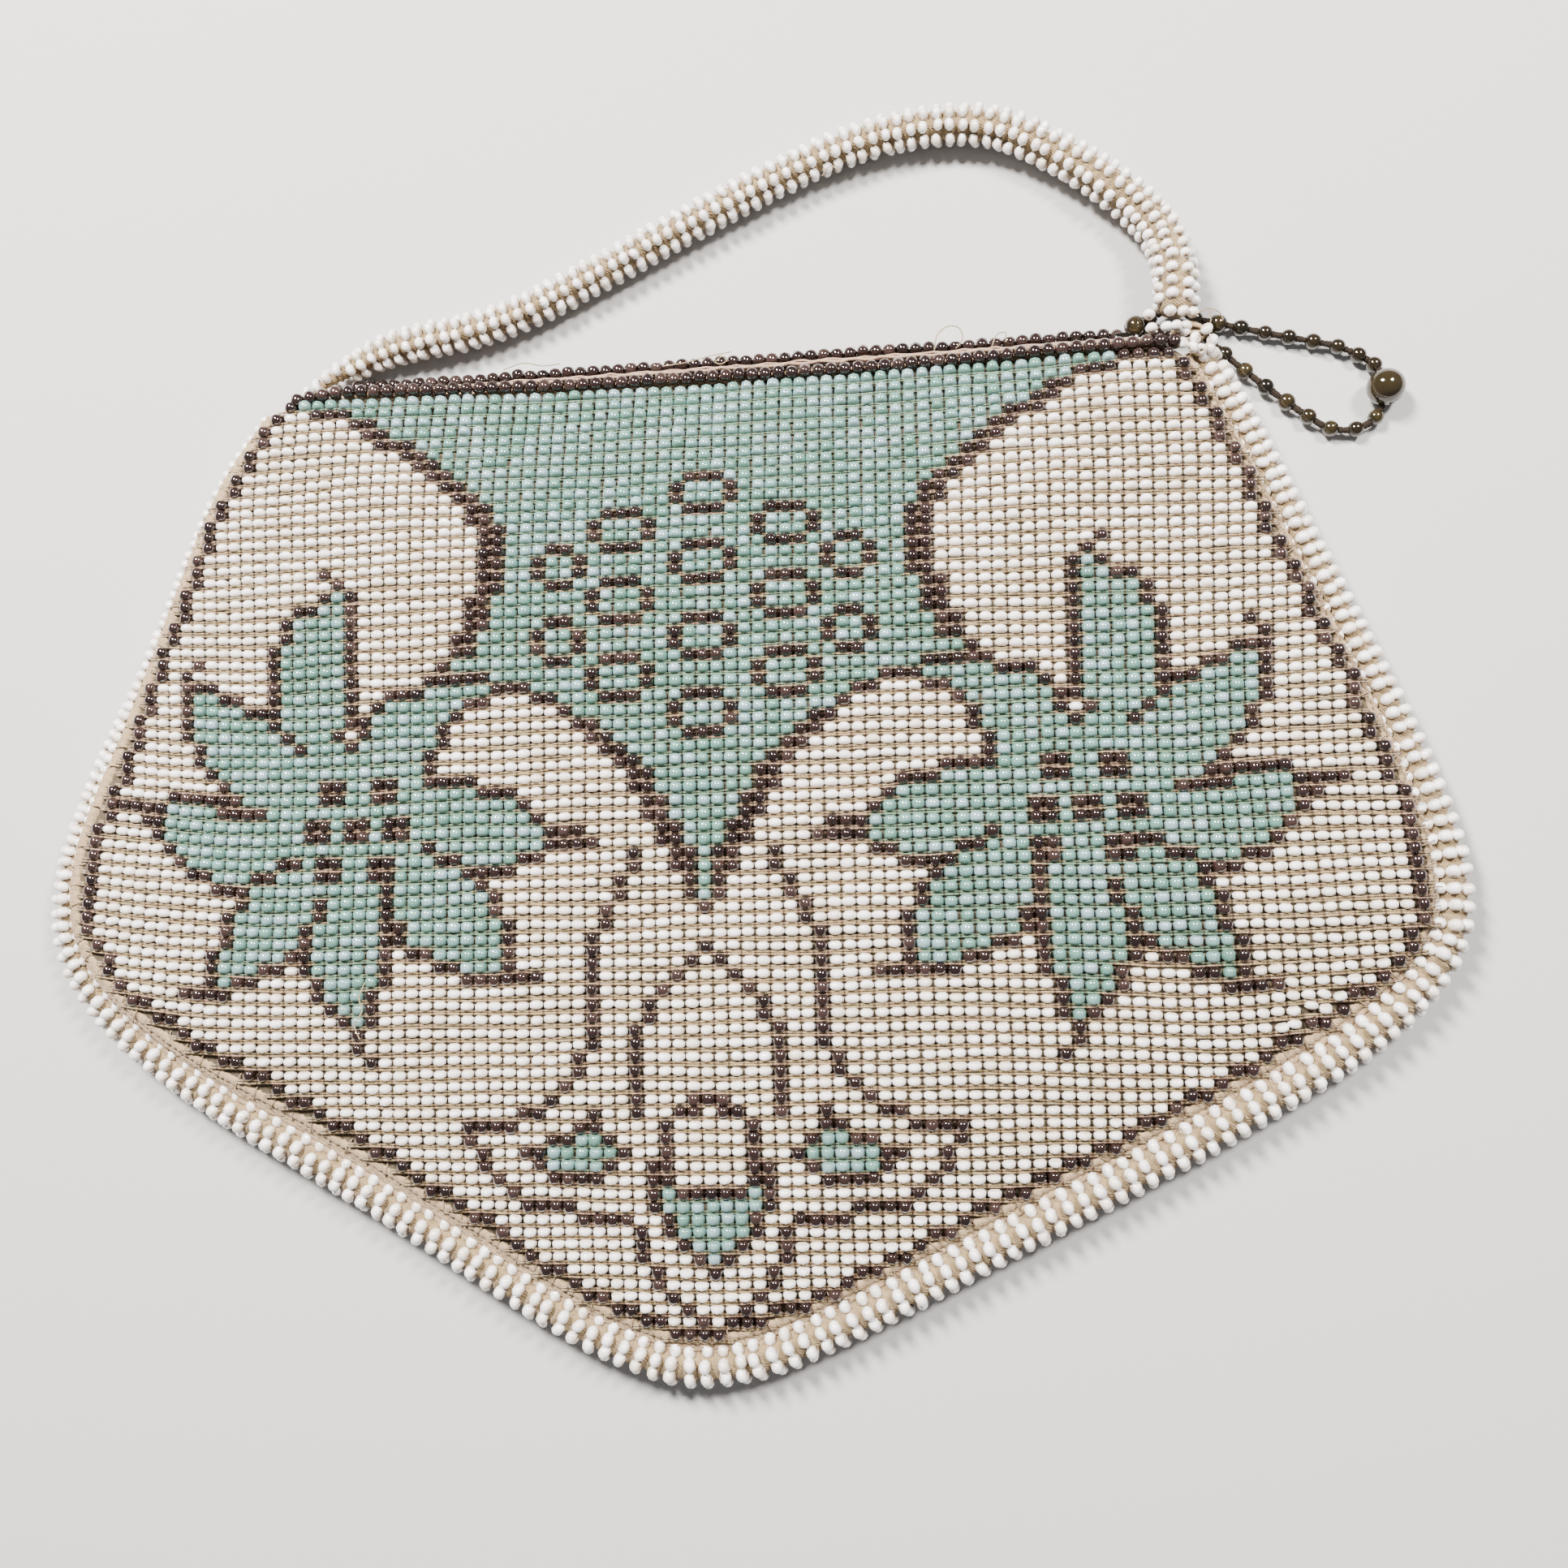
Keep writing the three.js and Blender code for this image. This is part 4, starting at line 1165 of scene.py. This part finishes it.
def string_places(points):
    """Places and frames of beads strung along a line just above the surface."""
    line = np.array([(x, y, STRING_HEIGHT) for x, y in points])
    along = directions(line)
    out = np.cross(along, (0, 0, 1.0))
    return line, np.stack([out, along, np.cross(out, along)], 1)


def large_bead():
    """The large drilled bead at the far end of the loop."""
    turn = math.radians(-12)
    axis = np.array((math.sin(turn), math.cos(turn), 0))
    side = np.cross(axis, (0, 0, 1.0))
    frames = np.array([[side, axis, np.cross(side, axis)]])
    return string_beads("zip_string_large_bead", model_round_bead(32, 22, 0.16),
                        np.array([(*LARGE_BEAD, 2.7)]), frames, (2.75, 2.6, 2.75), OLIVE_GLASS,
                        np.array([0.75]))


def zip_string():
    """Small dark beads on a thread that starts at the zip's slider and comes back to it."""
    stem, stem_frames = string_places(STEM)
    stem[:2] = STEM_START
    upper, upper_frames = string_places(UPPER_STRAND)
    lower, lower_frames = string_places(LOWER_STRAND)
    centres = np.vstack([stem, upper, lower])
    frames = np.vstack([stem_frames, upper_frames, lower_frames])
    sizes = np.tile((1.2, 1.25, 1.2), (len(centres), 1)) * (1 + random.normal(0, 0.05, (len(centres), 1)))
    sizes[0] = 1.6
    beads = string_beads("zip_string_beads", ROUND_BEAD, centres, frames, sizes, OLIVE_GLASS)
    big = large_bead()
    points = np.vstack([stem, upper, (*LARGE_BEAD, 2.5), lower, (*STEM[-1], STRING_HEIGHT)])
    string = tube(catmull_rom(points, 420), 0.5 + random.normal(0, 0.05, 420), 8)
    join_tubes("zip_string_thread", [string], DARK_THREAD)
    return beads, big


def corner_knot():
    """Loose white beads and thread round the handle's right end; returns the beads."""
    middle = np.array((69.0, 80.6, 6.6))
    spots = [(-2.3, -0.8, 0.9), (-0.9, -1.7, 1.2), (0.3, -1.9, 0.6), (2.0, -0.6, 0.6), (1.2, 0.9, 1.2),
             (-0.4, -0.2, 0.8), (1.6, -1.6, 0.2), (-1.9, 1.0, 0.9)]
    last_rows = [(62.3, 84.4, 7.4), (65.0, 83.9, 9.4), (66.9, 84.0, 8.8), (68.4, 84.2, 7.6),
                 (62.6, 82.4, 7.2), (64.5, 81.9, 8.6), (65.9, 81.9, 8.7), (67.3, 82.1, 7.9)]
    centres = np.vstack([middle + np.array(spots), last_rows])
    turns = random.normal(0, 1, (len(centres), 3, 3))
    turns[len(spots):] = np.eye(3) + random.normal(0, 0.15, (len(last_rows), 3, 3))
    frames = np.array([np.linalg.qr(turn)[0] for turn in turns])
    frames *= np.sign(np.linalg.det(frames))[:, None, None]
    beads = string_beads("knot_beads", LOOSE_BEAD, centres, frames, (0.9, 0.95, 0.9), WHITE_GLASS)
    tubes = []
    a = np.linspace(0, 2 * math.pi, 24)
    for k in range(5):
        tilt = k * 0.9
        across, lift = np.sin(a) * math.cos(tilt), np.sin(a) * math.sin(tilt)
        loop = np.stack([np.cos(a) * 2.2, across * 1.5, lift * 1.3], 1)
        tubes.append(tube(middle + (-1.2, 1.0, -0.4) + loop, 0.32, 6, up=(0.3, 0.2, 0.9)))
    join_tubes("knot_thread", tubes, COTTON)
    return beads


# Loose threads, camera, floor and light.

# Loose thread ends: points along each, in millimetres.
STRAY_THREADS = [
    [(-9.6, 83.3, 3.2), (-6.1, 83.4, 3.7), (-2.9, 84.2, 3.5), (-1.1, 84.6, 3.2), (0.8, 85.0, 2.9)],
    [(-1.7, 83.3, 3.2), (-0.4, 84.0, 3.7), (0.5, 83.5, 3.8), (-0.6, 82.9, 3.5), (-1.7, 83.4, 3.1)],
    [(31.4, 82.8, 3.2), (31.9, 85.0, 3.8), (33.5, 86.1, 4.2), (35.2, 85.8, 4.0), (35.6, 84.2, 3.6),
     (34.6, 83.0, 3.2)],
    [(39.9, 83.0, 3.1), (40.7, 84.6, 3.6), (41.9, 84.8, 3.6), (42.0, 83.4, 3.2)],
    [(-34.5, 84.6, 2.9), (-31.3, 85.3, 3.2), (-28.2, 84.6, 3.3), (-25.6, 84.9, 3.0)],
    [(15.6, 109.8, 7.0), (17.0, 110.8, 7.9), (18.4, 110.1, 7.3)],
    [(-50.6, -8.6, 14.3), (-51.3, -10.8, 14.6), (-50.8, -12.5, 14.6), (-51.9, -14.4, 14.5),
     (-51.2, -16.6, 14.2)],
    [(68.3, 83.5, 7.6), (70.4, 84.2, 8.6), (72.0, 83.5, 8.4), (72.6, 82.6, 7.7)],
    [(70.6, 84.0, 8.3), (70.8, 82.8, 8.2), (70.6, 81.9, 7.6)],
]


def stray_threads():
    """Fine loose ends of thread."""
    tubes = [tube(catmull_rom(points, 26), 0.09, 4) for points in STRAY_THREADS]
    join_tubes("stray_threads", tubes, COTTON, 0.1)


def set_camera():
    """The camera, above the bag's right half and turned a little."""
    right = Vector((0.9930, -0.0203, -0.1161)).normalized()
    up = Vector((0.0354, 0.9909, 0.1300))
    back = right.cross(up).normalized()
    up = back.cross(right)
    data = bpy.data.cameras.new("camera")
    data.lens = 35.4
    data.sensor_width = 36.0
    data.clip_start = 0.01
    camera = bpy.data.objects.new("camera", data)
    turned = Matrix((right, up, back)).transposed().to_4x4()
    camera.matrix_world = Matrix.Translation((0.0327, -0.0110, 0.2231)) @ turned
    bpy.context.scene.collection.objects.link(camera)
    bpy.context.scene.camera = camera


def set_floor():
    """The plain pale surface that the purse lies on."""
    shader = start_material("pale_floor")[2]
    shader.inputs["Base Color"].default_value = (0.44, 0.43, 0.42, 1)
    shader.inputs["Roughness"].default_value = 0.9
    deselect_all()
    bpy.ops.mesh.primitive_plane_add(size=4.0, location=(0, 0, -0.0002))
    floor = bpy.context.object
    floor.name = "floor"
    floor.data.materials.append(bpy.data.materials["pale_floor"])


def add_light(name, place, size, power, colour):
    """A window-like light that shines at the bag."""
    data = bpy.data.lights.new(name, "AREA")
    data.shape = "RECTANGLE"
    data.size, data.size_y = size
    data.energy = power
    data.color = colour
    light = bpy.data.objects.new(name, data)
    light.location = place
    light.rotation_euler = (Vector((0, 0.03, 0)) - Vector(place)).to_track_quat("-Z", "Y").to_euler()
    bpy.context.scene.collection.objects.link(light)


def set_lights():
    """Two soft windows beyond the handle, and a pale room."""
    world = bpy.data.worlds.new("studio")
    bpy.context.scene.world = world
    world.use_nodes = True
    background = world.node_tree.nodes["Background"]
    background.inputs["Color"].default_value = (0.93, 0.95, 1.0, 1)
    background.inputs["Strength"].default_value = 0.27
    add_light("window_left", (-0.24, 0.36, 0.55), (0.12, 0.18), 21.5, (1.0, 0.96, 0.92))
    add_light("window_right", (0.34, 0.28, 0.55), (0.1, 0.14), 10.5, (1.0, 0.96, 0.93))


set_camera()
front_threads(front_beads())
front_cloth = wall_cloth("front_cloth", "front_panel", sink_front)
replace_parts(front_cloth, "front_panel")
back_threads(*back_beads())
back_cloth = wall_cloth("back_cloth", "back_panel", raise_back)
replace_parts(back_cloth, "back_panel")
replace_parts(side_rope(), "side_rope")
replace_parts(handle(), "handle_rope")
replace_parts(front_rim_beads(), "front_rim")
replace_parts(back_rim_beads(), "back_rim")
edge_binding()
stray_threads()
zip_fold()
zip_threads()
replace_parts(zip_tape(), "zip_closed")
zip_slider()
small_beads, big_bead = zip_string()
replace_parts(small_beads, "zip_pull_string")
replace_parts(big_bead, "zip_pull_bead")
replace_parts(corner_knot(), "corner_tie")

set_floor()
set_lights()
